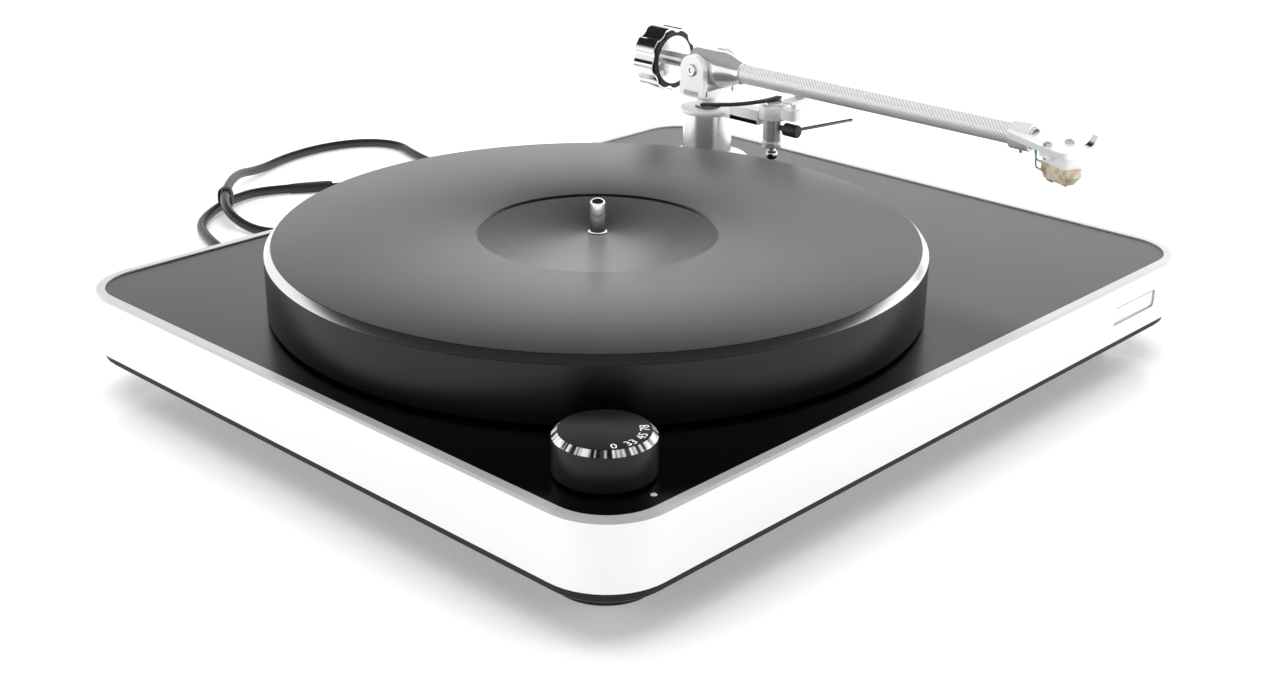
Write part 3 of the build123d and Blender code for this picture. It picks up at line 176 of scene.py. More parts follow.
# ---- Side band ----------------------------------------------------------------
# One extruded aluminium strip bent round the plinth, brushed along its length and
# clear anodised, with a small cut chamfer on its top edge.
def effect_group(name, inputs, outputs):
    """An empty shader node group with named sockets; returns it with its two end nodes."""
    group = bpy.data.node_groups.new(name, "ShaderNodeTree")
    for socket, kind, value in inputs:
        made = group.interface.new_socket(name=socket, in_out="INPUT", socket_type="NodeSocket" + kind)
        made.default_value = value
    for socket, kind in outputs:
        group.interface.new_socket(name=socket, in_out="OUTPUT", socket_type="NodeSocket" + kind)
    return group, group.nodes.new("NodeGroupInput"), group.nodes.new("NodeGroupOutput")


def use_group(tree, group, **values):
    """Places a group in a material's tree with its own values."""
    made = tree.nodes.new("ShaderNodeGroup")
    made.node_tree = group
    for key, value in values.items():
        made.inputs[key.replace("_", " ")].default_value = value
    return made


def dress(node, material):
    """Gives a carried-over CAD node its finished material."""
    mesh = nodes[node].data
    mesh.materials.clear()
    mesh.materials.append(material)


def vector_maths(tree, operation, first, second):
    """Output of one vector maths node."""
    return add_node(tree, "ShaderNodeVectorMath", first, second, operation=operation).outputs[0]


def waver(group, group_in, group_out, value, relief):
    """Moves a group's roughness about its base with a value, and passes on the relief."""
    swing = maths(group, "MULTIPLY", maths(group, "SUBTRACT", value, 0.5), group_in.outputs["Spread"])
    group.links.new(maths(group, "ADD", group_in.outputs["Base"], swing), group_out.inputs["Roughness"])
    group.links.new(relief, group_out.inputs["Height"])


def wear(tree, shader, group, depth, **values):
    """Gives a shader an effect group's roughness and relief; returns the group's node."""
    marks = use_group(tree, group, **values)
    tree.links.new(marks.outputs["Roughness"], shader.inputs["Roughness"])
    press_in(tree, shader, marks.outputs["Height"], depth)
    return marks


# long scratches along one direction: the vector says how many features fit a metre along X, Y and Z
brushed, brushed_in, brushed_out = effect_group(
    "brushed lines",
    [("Lines", "Vector", (6, 6, 3000)), ("Base", "Float", 0.3), ("Spread", "Float", 0.1)],
    [("Roughness", "Float"), ("Height", "Float"), ("Tone", "Float")],
)
stretched = vector_maths(brushed, "MULTIPLY", place_on(brushed), brushed_in.outputs["Lines"])
lines = noise(brushed, stretched, 1.0, 4.0, 0.65)
waver(brushed, brushed_in, brushed_out, lines, lines)
brushed.links.new(ramp_between(brushed, lines, 0.9, 1.0, 0.3, 0.7), brushed_out.inputs["Tone"])


def brushed_finish(name, colour, roughness, metallic, per_metre, base, spread, depth, tones=()):
    """A brushed surface, its lines shaded between two tones where they are given."""
    material, tree, shader = new_material(name, colour, roughness, metallic)
    marks = wear(tree, shader, brushed, depth, Lines=per_metre, Base=base, Spread=spread)
    if tones:
        tree.links.new(mix_colours(tree, marks.outputs["Tone"], *tones), shader.inputs["Base Color"])
    return material


band_metal = brushed_finish(
    "band aluminium", (0.9, 0.9, 0.905), 0.3, 0.6, (5, 5, 3200), 0.33, 0.22, 0.00002,
    ((0.64, 0.64, 0.65, 1), (0.80, 0.80, 0.81, 1)),
)
dress("side_band", band_metal)

# ---- Front badge --------------------------------------------------------------
# A plain aluminium plate glued into the shallow recess at the right end of the
# front. It carries no mark.
badge_metal = brushed_finish(
    "badge aluminium", (0.82, 0.82, 0.83), 0.4, 1.0, (5, 5, 2400), 0.42, 0.2, 0.00003
)
dress("front_badge", badge_metal)

# ---- Deck plate ---------------------------------------------------------------
# The top plate is finished satin black; it is set just below the band's lip.
satin, satin_in, satin_out = effect_group(
    "satin lacquer",
    [("Grain", "Float", 900.0), ("Base", "Float", 0.35), ("Spread", "Float", 0.06)],
    [("Roughness", "Float"), ("Height", "Float"), ("Dust", "Float")],
)
spot = place_on(satin)
grain = noise(satin, spot, satin_in.outputs["Grain"], 3.0, 0.6)
waver(satin, satin_in, satin_out, noise(satin, spot, 14.0, 3.0), grain)
specks = noise(satin, spot, 1500.0, 2.0)
satin.links.new(ramp_between(satin, specks, 0.0, 1.0, 0.71, 0.78), satin_out.inputs["Dust"])


def satin_finish(name, colour, base, spread, grain_scale, depth, metallic=0.0, dust=0.0, **sockets):
    """A lacquered, moulded or blasted surface with fine grain and a trace of dust."""
    material, tree, shader = new_material(name, colour, base, metallic, **sockets)
    grain = wear(tree, shader, satin, depth, Grain=grain_scale, Base=base, Spread=spread)
    if dust:
        speck = maths(tree, "MULTIPLY", grain.outputs["Dust"], dust)
        dusted = mix_colours(tree, speck, (*colour, 1), (0.5, 0.5, 0.5, 1))
        tree.links.new(dusted, shader.inputs["Base Color"])
    return material


deck_lacquer = satin_finish(
    "deck lacquer", (0.105, 0.096, 0.099), 0.28, 0.05, 1400.0, 0.000004, metallic=1.0, dust=0.03
)
dress("deck_plate", deck_lacquer)

# ---- Base plate and core ------------------------------------------------------
# Under the band is a powder-coated plate; the core is raw fibre board, hidden
# between the two, and holds the bearing, the motor and the electronics.
powder_black = satin_finish(
    "powder coat", (0.007, 0.007, 0.007), 0.5, 0.08, 2600.0, 0.00003, Specular_IOR_Level=0.25
)
dress("base_plate", powder_black)
fibre_board, tree, shader = new_material("fibre board", (0.42, 0.30, 0.18), 0.85)
fibres = noise(tree, place_on(tree), 700.0, 6.0, 0.7)
board_tone = mix_colours(tree, fibres, (0.34, 0.23, 0.13, 1), (0.52, 0.39, 0.25, 1))
tree.links.new(board_tone, shader.inputs["Base Color"])
press_in(tree, shader, fibres, 0.0001)
dress("core_board", fibre_board)


# ---- Feet ---------------------------------------------------------------------
# Three turned feet screw into the base plate, each on a round rubber pad.
def finish_piece(name, bm, body, material, record_slot, stands_for=(), sharp=32.0):
    """Turns a bmesh into a smooth-shaded piece that rides on a body."""
    bmesh.ops.recalc_face_normals(bm, faces=bm.faces)
    mesh = bpy.data.meshes.new(name)
    bm.to_mesh(mesh)
    bm.free()
    for entry in material if isinstance(material, (list, tuple)) else [material]:
        mesh.materials.append(entry)
    mesh.shade_smooth()
    mesh.set_sharp_from_angle(angle=radians(sharp))
    piece = bpy.data.objects.new(name, mesh)
    bpy.context.scene.collection.objects.link(piece)
    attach(piece, body)
    if stands_for:
        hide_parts(*stands_for)
    return piece


def eased(points, size, closed=True, steps=3):
    """Rounds the corners of an outline by up to size, with a short curve at each."""
    result = []
    count = len(points)
    for place, point in enumerate(points):
        here = Vector(point)
        if not closed and place in (0, count - 1):
            result.append(here)
            continue
        before, after = Vector(points[place - 1]), Vector(points[(place + 1) % count])
        into, out = here - before, after - here
        if into.length < 1e-9 or out.length < 1e-9 or into.angle(out) < radians(12):
            result.append(here)
            continue
        reach = min(size, into.length * 0.45, out.length * 0.45)
        first, last = here - into.normalized() * reach, here + out.normalized() * reach
        for step in range(steps + 1):
            t = step / steps
            result.append(first * (1 - t) ** 2 + here * 2 * t * (1 - t) + last * t ** 2)
    return result


def turned(bm, profile, placing, steps=96, paint=None):
    """Adds a surface of revolution to bm. The profile is a closed list of (radius, height) in metres."""
    rings = []
    for radius, level in profile:
        if radius < 1e-7:
            rings.append([bm.verts.new(placing @ Vector((0, 0, level)))])
            continue
        rings.append([
            bm.verts.new(
                placing @ Vector((radius * cos(2 * pi * s / steps), radius * sin(2 * pi * s / steps), level))
            )
            for s in range(steps)
        ])
    for place, ring in enumerate(rings):
        following = rings[(place + 1) % len(rings)]
        if len(ring) == 1 and len(following) == 1:
            continue
        index = paint(profile[place], profile[(place + 1) % len(rings)]) if paint else 0
        for s in range(steps):
            t = (s + 1) % steps
            corners = [
                ring[s % len(ring)], ring[t % len(ring)],
                following[t % len(following)], following[s % len(following)],
            ]
            bm.faces.new(list(dict.fromkeys(corners))).material_index = index


def corners_of(node):
    """Low and high corner of a CAD node's box."""
    return [Vector(corner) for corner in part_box(node)]


mm = 0.001


def raised(level, *points):
    """Outline points given in millimetres out from an axis and up from a level."""
    return [(out * mm, level + up * mm) for out, up in points]


foot_low, foot_high = corners_of("feet")
foot_radius, foot_bottom, foot_top = 24 * mm, foot_low.z, 18 * mm
foot_places = [
    (foot_low.x + foot_radius, foot_low.y + foot_radius),
    (foot_high.x - foot_radius, foot_low.y + foot_radius),
    ((foot_low.x + foot_high.x) / 2, foot_high.y - foot_radius),
]
foot_plastic = satin_finish(
    "foot plastic", (0.01, 0.01, 0.01), 0.42, 0.08, 2200.0, 0.00002, Specular_IOR_Level=0.3
)
foot_profile = [
    (0, foot_bottom), (22 * mm, foot_bottom), (foot_radius, foot_bottom + 2 * mm),
    (foot_radius, foot_top - 6 * mm), (23.2 * mm, foot_top - 5.5 * mm), (23.2 * mm, foot_top - 4.5 * mm),
    (foot_radius, foot_top - 4 * mm), (foot_radius, foot_top - 1 * mm), (23 * mm, foot_top),
    (4 * mm, foot_top), (4 * mm, foot_high.z), (0, foot_high.z),
]
pad_rubber = satin_finish("pad rubber", (0.012, 0.012, 0.012), 0.75, 0.08, 3000.0, 0.00006)
pad_profile = raised(0, (0, 0), (14, 0), (15, 0.6), (16.5, 0.6), (17.5, 0), (21, 0))
pad_profile += [(21 * mm, foot_bottom), (0, foot_bottom)]
for name, profile, easing, material, record_slot, node in (
    ("foot_shells", foot_profile, 0.5 * mm, foot_plastic, "foot_black", "feet"),
    ("foot_rubbers", pad_profile, 0.4 * mm, pad_rubber, "pad_rubber", "foot_pads"),
):
    bm = bmesh.new()
    for place in foot_places:
        turned(bm, eased(profile, easing, closed=False), Matrix.Translation((*place, 0)), 72)
    finish_piece(name, bm, "plinth", material, record_slot, [node])

# ---- Platter ------------------------------------------------------------------
# Turned from thick aluminium and coated satin black. The wide chamfer is cut after
# coating, so it is bare metal, and the label recess keeps its fine turning rings.
rings, rings_in, rings_out = effect_group(
    "turning rings",
    [
        ("Centre", "Vector", (0, 0, 0)), ("Pitch", "Float", 0.0004),
        ("Base", "Float", 0.3), ("Spread", "Float", 0.1),
    ],
    [("Roughness", "Float"), ("Height", "Float"), ("Tone", "Float")],
)
apart = vector_maths(rings, "SUBTRACT", place_on(rings), rings_in.outputs["Centre"])
flat = vector_maths(rings, "MULTIPLY", apart, (1, 1, 0))
radius = add_node(rings, "ShaderNodeVectorMath", flat, operation="LENGTH").outputs["Value"]
level = add_node(rings, "ShaderNodeSeparateXYZ", apart).outputs[2]
run = maths(rings, "DIVIDE", maths(rings, "ADD", radius, level), rings_in.outputs["Pitch"])
def line_noise(tree, value, scale, detail, roughness):
    """Output of a noise texture read at one number."""
    return add_node(
        tree, "ShaderNodeTexNoise", None, value, scale, detail, roughness, noise_dimensions="1D"
    ).outputs[0]


fine = line_noise(rings, run, 1.0, 3.0, 0.6)
waver(rings, rings_in, rings_out, fine, fine)
rings.links.new(ramp_between(rings, fine, 0.0, 1.0, 0.3, 0.7), rings_out.inputs["Tone"])


def turned_finish(name, dark, light, centre, pitch, base, spread, depth, metallic=1.0, **sockets):
    """A turned surface whose rings run round a vertical axis through centre."""
    material, tree, shader = new_material(name, light, base, metallic, **sockets)
    marks = wear(tree, shader, rings, depth, Centre=centre, Pitch=pitch, Base=base, Spread=spread)
    tone = mix_colours(tree, marks.outputs["Tone"], (*dark, 1), (*light, 1))
    tree.links.new(tone, shader.inputs["Base Color"])
    if sockets.get("Anisotropic"):
        around = add_node(tree, "ShaderNodeTangent", direction_type="RADIAL", axis="Z")
        tree.links.new(around.outputs[0], shader.inputs["Tangent"])
    return material


def turned_piece(name, profile, placing, steps, *finish, paint=None, sharp=32.0):
    """A piece that is one surface of revolution."""
    bm = bmesh.new()
    turned(bm, profile, placing, steps, paint)
    return finish_piece(name, bm, *finish, sharp=sharp)


def middle(node):
    """Centre of a CAD node's box."""
    low, high = corners_of(node)
    return (low + high) / 2


def upright(place):
    """A vertical axis through a place."""
    return Matrix.Translation((place.x, place.y, 0))


platter_low, platter_high = corners_of("platter")
platter_centre = middle("platter")
platter_axis = upright(platter_centre)
platter_radius = (platter_high.x - platter_low.x) / 2
platter_bottom, platter_top = platter_low.z, platter_high.z
label_radius, label_level = 55 * mm, platter_top - 0.8 * mm
platter_chamfer = 3.3 * mm
recess_radius, recess_roof, bore_radius = 128 * mm, 68 * mm, 4.43 * mm
# The satin coating is made as two copies of one finish: the top's colour is painted lighter as a painted sheen,
# and the rim's colour is painted much darker as painted shade on the platter's side.
platter_black, platter_rim_painted_shade = (
    satin_finish(name, colour, base, 0.04, 1800.0, 0.000004, metallic=1.0, dust=0.03)
    for name, colour, base in (
        ("platter top coating painted sheen", (0.165, 0.161, 0.163), 0.32),
        ("platter rim coating painted shade", (0.035, 0.034, 0.035), 0.36),
    )
)
platter_cut = turned_finish(
    "platter chamfer", (0.74, 0.73, 0.74), (0.90, 0.89, 0.90), platter_centre, 0.00025, 0.22, 0.08, 0.000004,
)
label_cut = turned_finish(
    "platter label recess", (0.10, 0.10, 0.102), (0.22, 0.22, 0.222), platter_centre, 0.00035, 0.30, 0.12,
    0.000010, metallic=1.0, Anisotropic=0.85, Specular_IOR_Level=0.7,
)


def platter_paint(first, second):
    """Picks the top coating (painted lighter as sheen), the cut chamfer, the label recess or the rim's coating
    (painted darker as shade) for a band of the platter.
    """
    inner, outer = sorted((first[0], second[0]))
    low, high = sorted((first[1], second[1]))
    edge = platter_radius - platter_chamfer
    if low > platter_top - platter_chamfer - 1e-5 and inner > edge - 1e-5 and high < platter_top + 1e-5:
        return 1
    if inner > platter_radius - 1 * mm:
        return 3
    return 2 if high < label_level + 1e-5 and low > label_level - 1e-5 and outer < label_radius + 1e-5 else 0


profile = [
    (bore_radius, recess_roof), (bore_radius, label_level), (label_radius, label_level),
    (label_radius + 0.5 * mm, platter_top), (platter_radius - platter_chamfer, platter_top),
    (platter_radius, platter_top - platter_chamfer), (platter_radius, platter_bottom + 0.6 * mm),
    (platter_radius - 0.6 * mm, platter_bottom), (recess_radius + 0.5 * mm, platter_bottom),
    (recess_radius, platter_bottom + 0.5 * mm), (recess_radius, recess_roof),
]
turned_piece(
    "platter_disc", eased(profile, 0.22 * mm, steps=2), platter_axis, 256, "platter_rotor",
    [platter_black, platter_cut, label_cut, platter_rim_painted_shade], "platter_black", ["platter"],
    paint=platter_paint, sharp=24,
)

# ---- Spindle ------------------------------------------------------------------
# A hardened steel shaft, polished above the platter, with a rounded top that
# guides the record on. Below the platter it runs in the bearing.
shaft_low, shaft_high = corners_of("spindle_shaft")
spindle_steel = brushed_finish(
    "spindle steel", (0.86, 0.86, 0.87), 0.09, 1.0, (300, 300, 5000), 0.1, 0.1, 0.000002
)
tip_radius, dome_height = 3.6 * mm, 2.2 * mm
dome = [
    (tip_radius * cos(a), shaft_high.z - dome_height + dome_height * sin(a))
    for a in (0, 0.35, 0.7, 1.05, 1.3, 1.45)
]
profile = [
    *raised(shaft_low.z, (0, 3), (3, 0), (4.6, 0), (5, 0.4)), *raised(recess_roof, (5, 0), (4.4, 0)),
    *raised(label_level, (4.4, 0.4), (4.3, 0.5), (3.6, 0.5)), *dome, (0, shaft_high.z),
]
turned_piece(
    "record_spindle", profile, platter_axis, 64, "platter_rotor", spindle_steel, "spindle_steel",
    ["spindle_shaft"],
)

# ---- Bearing and sub-platter --------------------------------------------------
# The brass housing is let into the core and screwed to the deck. The shaft stands
# on a steel ball and runs in two bronze bushes; the moulded sub-platter is pressed on it.
bearing_brass = turned_finish(
    "bearing brass", (0.55, 0.40, 0.16), (0.76, 0.60, 0.30), platter_centre, 0.0003, 0.32, 0.12, 0.00001
)
bush_bronze = satin_finish("bush bronze", (0.50, 0.31, 0.15), 0.45, 0.1, 3000.0, 0.00003, metallic=1.0)
ball_steel = satin_finish("ball steel", (0.80, 0.80, 0.81), 0.08, 0.02, 2000.0, 0.000001, metallic=1.0)
slippery_white = satin_finish("thrust pad plastic", (0.85, 0.85, 0.82), 0.4, 0.06, 1500.0, 0.00001)
sub_platter_plastic = turned_finish(
    "sub-platter plastic", (0.018, 0.018, 0.018), (0.035, 0.035, 0.035), platter_centre, 0.0009, 0.4, 0.1,
    0.00001, metallic=0.0,
)
screw_steel = satin_finish("black screws", (0.06, 0.06, 0.06), 0.35, 0.08, 2500.0, 0.00001, metallic=1.0)
for node, material in {
    "bearing_housing": bearing_brass,
    "bearing_bushes": bush_bronze,
    "thrust_ball": ball_steel,
    "thrust_pad": slippery_white,
    "sub_platter": sub_platter_plastic,
    "plinth_screws": screw_steel,
}.items():
    dress(node, material)

# ---- Motor and belt -----------------------------------------------------------
# A small DC motor hangs on three rubber posts under the deck. Its turned pulley
# drives a flat ground rubber belt round the sub-platter.
motor_centre = middle("motor")
motor_can = turned_finish(
    "motor can", (0.42, 0.42, 0.43), (0.62, 0.62, 0.63), motor_centre, 0.0006, 0.36, 0.12, 0.00001
)
zinc_plate = satin_finish("zinc plate", (0.58, 0.58, 0.56), 0.38, 0.15, 500.0, 0.00002, metallic=1.0)
soft_rubber = satin_finish("isolator rubber", (0.03, 0.03, 0.03), 0.8, 0.08, 2500.0, 0.00005)
ground_steel = satin_finish("ground steel", (0.62, 0.62, 0.63), 0.22, 0.08, 3000.0, 0.000004, metallic=1.0)
pulley_metal = turned_finish(
    "pulley aluminium", (0.62, 0.62, 0.63), (0.82, 0.82, 0.83), motor_centre, 0.0002, 0.25, 0.1, 0.00001
)
belt_rubber = brushed_finish(
    "belt rubber", (0.02, 0.02, 0.02), 0.6, 0.0, (400, 400, 4000), 0.62, 0.25, 0.00003
)
for node, material in {
    "motor": motor_can,
    "motor_plate": zinc_plate,
    "motor_isolators": soft_rubber,
    "motor_shaft": ground_steel,
    "motor_pulley": pulley_metal,
    "drive_belt": belt_rubber,
}.items():
    dress(node, material)

# ---- Electronics --------------------------------------------------------------
# The speed switch stands on a small circuit board held on four posts over the
# base plate; its threaded neck is nutted through the deck.
board_resist, tree, shader = new_material("circuit board", (0.02, 0.16, 0.06), 0.35, Coat_Weight=0.4)
tracks = add_node(tree, "ShaderNodeTexVoronoi", place_on(tree), None, 260.0, feature="DISTANCE_TO_EDGE")
copper = ramp_between(tree, tracks.outputs[0], 1.0, 0.0, 0.03, 0.06)
board_tone = mix_colours(tree, copper, (0.015, 0.12, 0.045, 1), (0.04, 0.24, 0.09, 1))
tree.links.new(board_tone, shader.inputs["Base Color"])
moulded_black = satin_finish("moulded black", (0.02, 0.02, 0.02), 0.45, 0.08, 1800.0, 0.00002)
post_brass = satin_finish("post brass", (0.70, 0.52, 0.24), 0.3, 0.1, 2000.0, 0.00001, metallic=1.0)
for node, material in {
    "circuit_board": board_resist,
    "board_standoffs": post_brass,
    "speed_switch": moulded_black,
    "switch_nut": zinc_plate,
    "switch_shaft": ground_steel,
}.items():
    dress(node, material)

# ---- Speed knob ---------------------------------------------------------------
# Turned aluminium, anodised black, with a bright chamfer cut through the colour.
# The speeds are printed in white near the rim.
knob_low, knob_high = corners_of("speed_knob")
knob_centre = middle("speed_knob")
knob_axis = upright(knob_centre)
knob_radius, knob_chamfer = (knob_high.x - knob_low.x) / 2, 2.3 * mm
knob_black = satin_finish(
    "knob anodising", (0.007, 0.007, 0.007), 0.34, 0.05, 2600.0, 0.000006, dust=0.03, Specular_IOR_Level=0.3
)
knob_cut, tree, shader = new_material("knob cut chamfer", (0.93, 0.93, 0.94), 0.12, 1.0)
apart = vector_maths(tree, "SUBTRACT", place_on(tree), knob_centre)
parts = add_node(tree, "ShaderNodeSeparateXYZ", apart)
angle = maths(tree, "MULTIPLY", maths(tree, "ARCTAN2", parts.outputs[1], parts.outputs[0]), 2.6)
# The chamfer's colour is painted in patches round the knob, from dark grey to near white: painted highlights and
# reflections on the cut metal. The same patches also set its roughness and metallic.
painted_highlight_patches = line_noise(tree, angle, 1.3, 2.0, 0.7)
painted_highlight = ramp_between(tree, painted_highlight_patches, 0.0, 1.0, 0.42, 0.56)
cut_tone_with_painted_highlights = mix_colours(tree, painted_highlight, (0.38, 0.38, 0.39, 1), (0.97, 0.97, 0.98, 1))
tree.links.new(cut_tone_with_painted_highlights, shader.inputs["Base Color"])
tree.links.new(ramp_between(tree, painted_highlight_patches, 0.26, 0.1, 0.35, 0.6), shader.inputs["Roughness"])
tree.links.new(ramp_between(tree, painted_highlight_patches, 1.0, 0.3, 0.42, 0.56), shader.inputs["Metallic"])


def knob_paint(first, second):
    """Bright metal on the chamfer, anodising elsewhere."""
    on_cut = min(first[1], second[1]) > knob_high.z - knob_chamfer - 1e-5
    return 1 if on_cut and min(first[0], second[0]) > knob_radius - knob_chamfer - 1e-5 else 0


profile = [
    (0, knob_high.z - 3 * mm), (3.02 * mm, knob_high.z - 3 * mm), (3.02 * mm, knob_low.z + 6 * mm),
    (12 * mm, knob_low.z + 6 * mm), (12 * mm, knob_low.z), (knob_radius - 0.5 * mm, knob_low.z),
    (knob_radius, knob_low.z + 0.5 * mm), (knob_radius, knob_high.z - knob_chamfer),
    (knob_radius - knob_chamfer, knob_high.z), (0, knob_high.z),
]
turned_piece(
    "knob_cap", eased(profile, 0.14 * mm, closed=False, steps=2), knob_axis, 160, "knob",
    [knob_black, knob_cut], "knob_black", ["speed_knob"], paint=knob_paint, sharp=24,
)

print_white = satin_finish("white print", (0.85, 0.85, 0.84), 0.5, 0.08, 3000.0, 0.000004)
print_radius, print_size = 14.6 * mm, 5.1 * mm
for figure, around in (("0", -123), ("33", -96), ("45", -68.5), ("78", -41)):
    text = bpy.data.curves.new("speed_" + figure, "FONT")
    text.body = figure
    text.size = print_size
    text.space_character = 0.98
    text.align_x = "CENTER"
    text.align_y = "CENTER"
    text.extrude = 0.03 * mm
    text.offset = 0.00001
    text.resolution_u = 4
    text.materials.append(print_white)
    printed = bpy.data.objects.new("speed_" + figure, text)
    facing = radians(around)
    printed.location = (
        knob_centre.x + print_radius * cos(facing), knob_centre.y + print_radius * sin(facing), knob_high.z,
    )
    printed.rotation_euler = (0, 0, facing + pi / 2)
    bpy.context.scene.collection.objects.link(printed)
    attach(printed, "knob")

# ---- Indicator ----------------------------------------------------------------
# A clear light pipe comes up through the deck in front of the knob and ends in a
# small domed lens.
lens_low, lens_high = corners_of("indicator_lens")
lens_clear = satin_finish(
    "light pipe", (0.80, 0.82, 0.84), 0.12, 0.03, 1500.0, 0.000004, Coat_Weight=0.5, Transmission_Weight=0.35
)
profile = raised(lens_low.z, (0, 0), (1.3, 0))
profile += raised(lens_high.z, (1.3, -0.1), (1.0, 0.15), (0.6, 0.3), (0, 0.35))
turned_piece(
    "indicator_dome", profile, upright(middle("indicator_lens")), 32, "plinth", lens_clear, "lens_clear",
    ["indicator_lens"],
)

# ---- Arm collar and pillar ----------------------------------------------------
# The collar clamps the turned pillar at the height that suits the cartridge. The
# pillar is bright aluminium and holds the two arm bearings.
pillar_low, pillar_high = corners_of("arm_pillar")
pivot = middle("arm_pillar")
pivot_axis = upright(pivot)
pillar_metal = turned_finish(
    "pillar aluminium", (0.78, 0.78, 0.79), (0.93, 0.93, 0.94), pivot, 0.0003, 0.2, 0.08, 0.000004,
    metallic=0.75,
)
collar_low, collar_high = corners_of("arm_collar")
collar = raised(collar_low.z, (13.93, 0), (24, 0)) + raised(collar_high.z, (24, -1), (23, 0), (13.93, 0))
pillar = raised(pillar_low.z, (6.5, 24), (3, 24), (3, 0), (13.9, 0)) + raised(pillar_high.z, (13.9, 0), (6.5, 0))
for name, profile, body, record_slot, node in (
    ("height_collar", collar, "plinth", "collar_silver", "arm_collar"),
    ("pillar_tube", pillar, "arm_pillar", "pillar_silver", "arm_pillar"),
):
    turned_piece(name, eased(profile, 0.3 * mm), pivot_axis, 128, body, pillar_metal, record_slot, [node])
dress("arm_bearings", ground_steel)

# ---- Lift bracket, cylinder and rest ------------------------------------------
# A blasted aluminium bracket caps the pillar and reaches forward under the arm. It
# clamps the damped lift cylinder and carries the arm's rest.
blasted = satin_finish("blasted aluminium", (0.90, 0.90, 0.91), 0.36, 0.08, 3500.0, 0.00001, metallic=0.45)


def round_edges(bm, angle, size, segments=2):
    """Rounds the edges that are sharper than an angle in degrees."""
    sharp = [edge for edge in bm.edges if edge.calc_face_angle(0) > radians(angle)]
    bmesh.ops.bevel(
        bm, geom=sharp, offset=size, segments=segments, profile=0.5, affect="EDGES", clamp_overlap=True
    )


def block(bm, outline, low, high, placing, edge, segments=2):
    """Adds a solid with the given outline between two levels, its edges rounded by edge."""
    part = bmesh.new()
    under = [part.verts.new((x, y, low)) for x, y in outline]
    over = [part.verts.new((x, y, high)) for x, y in outline]
    part.faces.new(list(reversed(under)))
    part.faces.new(over)
    count = len(outline)
    for s in range(count):
        t = (s + 1) % count
        part.faces.new((under[s], under[t], over[t], over[s]))
    if edge:
        round_edges(part, 25, edge, segments)
    made = bpy.data.meshes.new("block")
    part.to_mesh(made)
    part.free()
    made.transform(placing)
    bm.from_mesh(made)
    bpy.data.meshes.remove(made)


def circle(radius, steps=64):
    """Outline of a circle."""
    return [(radius * cos(2 * pi * s / steps), radius * sin(2 * pi * s / steps)) for s in range(steps)]


def oblong(x0, x1, y0, y1, corner, steps=5):
    """Outline of a rectangle with round corners."""
    points = []
    for cx, cy, start in (
        (x1 - corner, y1 - corner, 0), (x0 + corner, y1 - corner, 90),
        (x0 + corner, y0 + corner, 180), (x1 - corner, y0 + corner, 270),
    ):
        for s in range(steps + 1):
            a = radians(start + 90 * s / steps)
            points.append((cx + corner * cos(a), cy + corner * sin(a)))
    return points


bracket_low, bracket_high = corners_of("lift_bracket")
cylinder_low, cylinder_high = corners_of("lift_cylinder")
lift_centre = middle("lift_cylinder")
lift_reach = pivot.y - lift_centre.y
lever_height = cylinder_low.z + 11.5 * mm
ring_bottom = lever_height + 4.3 * mm
nose_bottom = lever_height + 6.1 * mm
bm = bmesh.new()
disc_top = bracket_low.z + 2.5 * mm
disc = raised(bracket_low.z, (7.2, 0), (15.5, 0)) + raised(disc_top, (15.5, 0), (7.2, 0))
turned(bm, eased(disc, 0.5 * mm), pivot_axis, 96)
blade = oblong(-4.5 * mm, 4.5 * mm, -lift_reach + 7.0 * mm, -13 * mm, 0.4 * mm, 2)
block(bm, blade, bracket_low.z + 0.1 * mm, disc_top - 0.1 * mm, pivot_axis, 0.3 * mm)
blade = oblong(-4.5 * mm, 4.5 * mm, -lift_reach + 7.5 * mm, -20 * mm, 0.4 * mm, 2)
block(bm, blade, bracket_low.z + 0.05 * mm, bracket_low.z + 8 * mm, pivot_axis, 0.8 * mm)
lift_axis = upright(lift_centre)
ring = raised(ring_bottom, (5.52, 0), (8, 0)) + raised(bracket_high.z, (8, 0), (5.52, 0))
turned(bm, eased(ring, 0.6 * mm), lift_axis, 72)
nose_end = lift_centre.y - bracket_low.y
nose = oblong(-4 * mm, 4 * mm, -nose_end, -6.6 * mm, 2.5 * mm, 4)
block(bm, nose, nose_bottom, bracket_high.z - 1 * mm, lift_axis, 0.5 * mm)
finish_piece("lift_bracket_body", bm, "arm_pillar", blasted, "bracket_silver", ["lift_bracket"])

lift_metal = turned_finish(
    "lift aluminium", (0.74, 0.74, 0.75), (0.90, 0.90, 0.91), lift_centre, 0.00025, 0.2, 0.08, 0.000004,
    metallic=0.7,
)
barrel = raised(cylinder_low.z, (0, 0), (5.5, 0), (5.5, 3), (5.1, 3.3), (5.1, 3.9), (5.5, 4.2))
barrel += raised(cylinder_high.z, (5.5, -0.6), (4.9, 0), (2.03, 0), (2.03, -9), (0, -9))
turned_piece(
    "lift_barrel", eased(barrel, 0.2 * mm, closed=False), lift_axis, 72, "arm_pillar", lift_metal,
    "lift_silver", ["lift_cylinder"],
)

adjuster_low, adjuster_high = corners_of("lift_adjuster")
bright_chrome = satin_finish("bright chrome", (0.84, 0.84, 0.85), 0.07, 0.03, 2000.0, 0.000002, metallic=1.0)
ball = raised(adjuster_low.z, (0, 0), (1.6, 0), (3.0, 1.2), (3.4, 2.6), (3.2, 4.2), (2.4, 5), (2, 5.2))
ball += raised(adjuster_high.z, (2, 0), (0, 0))
turned_piece(
    "lift_adjuster_ball", eased(ball, 0.8 * mm, closed=False), lift_axis, 64, "arm_pillar",
    bright_chrome, "adjuster_steel", ["lift_adjuster"],
)

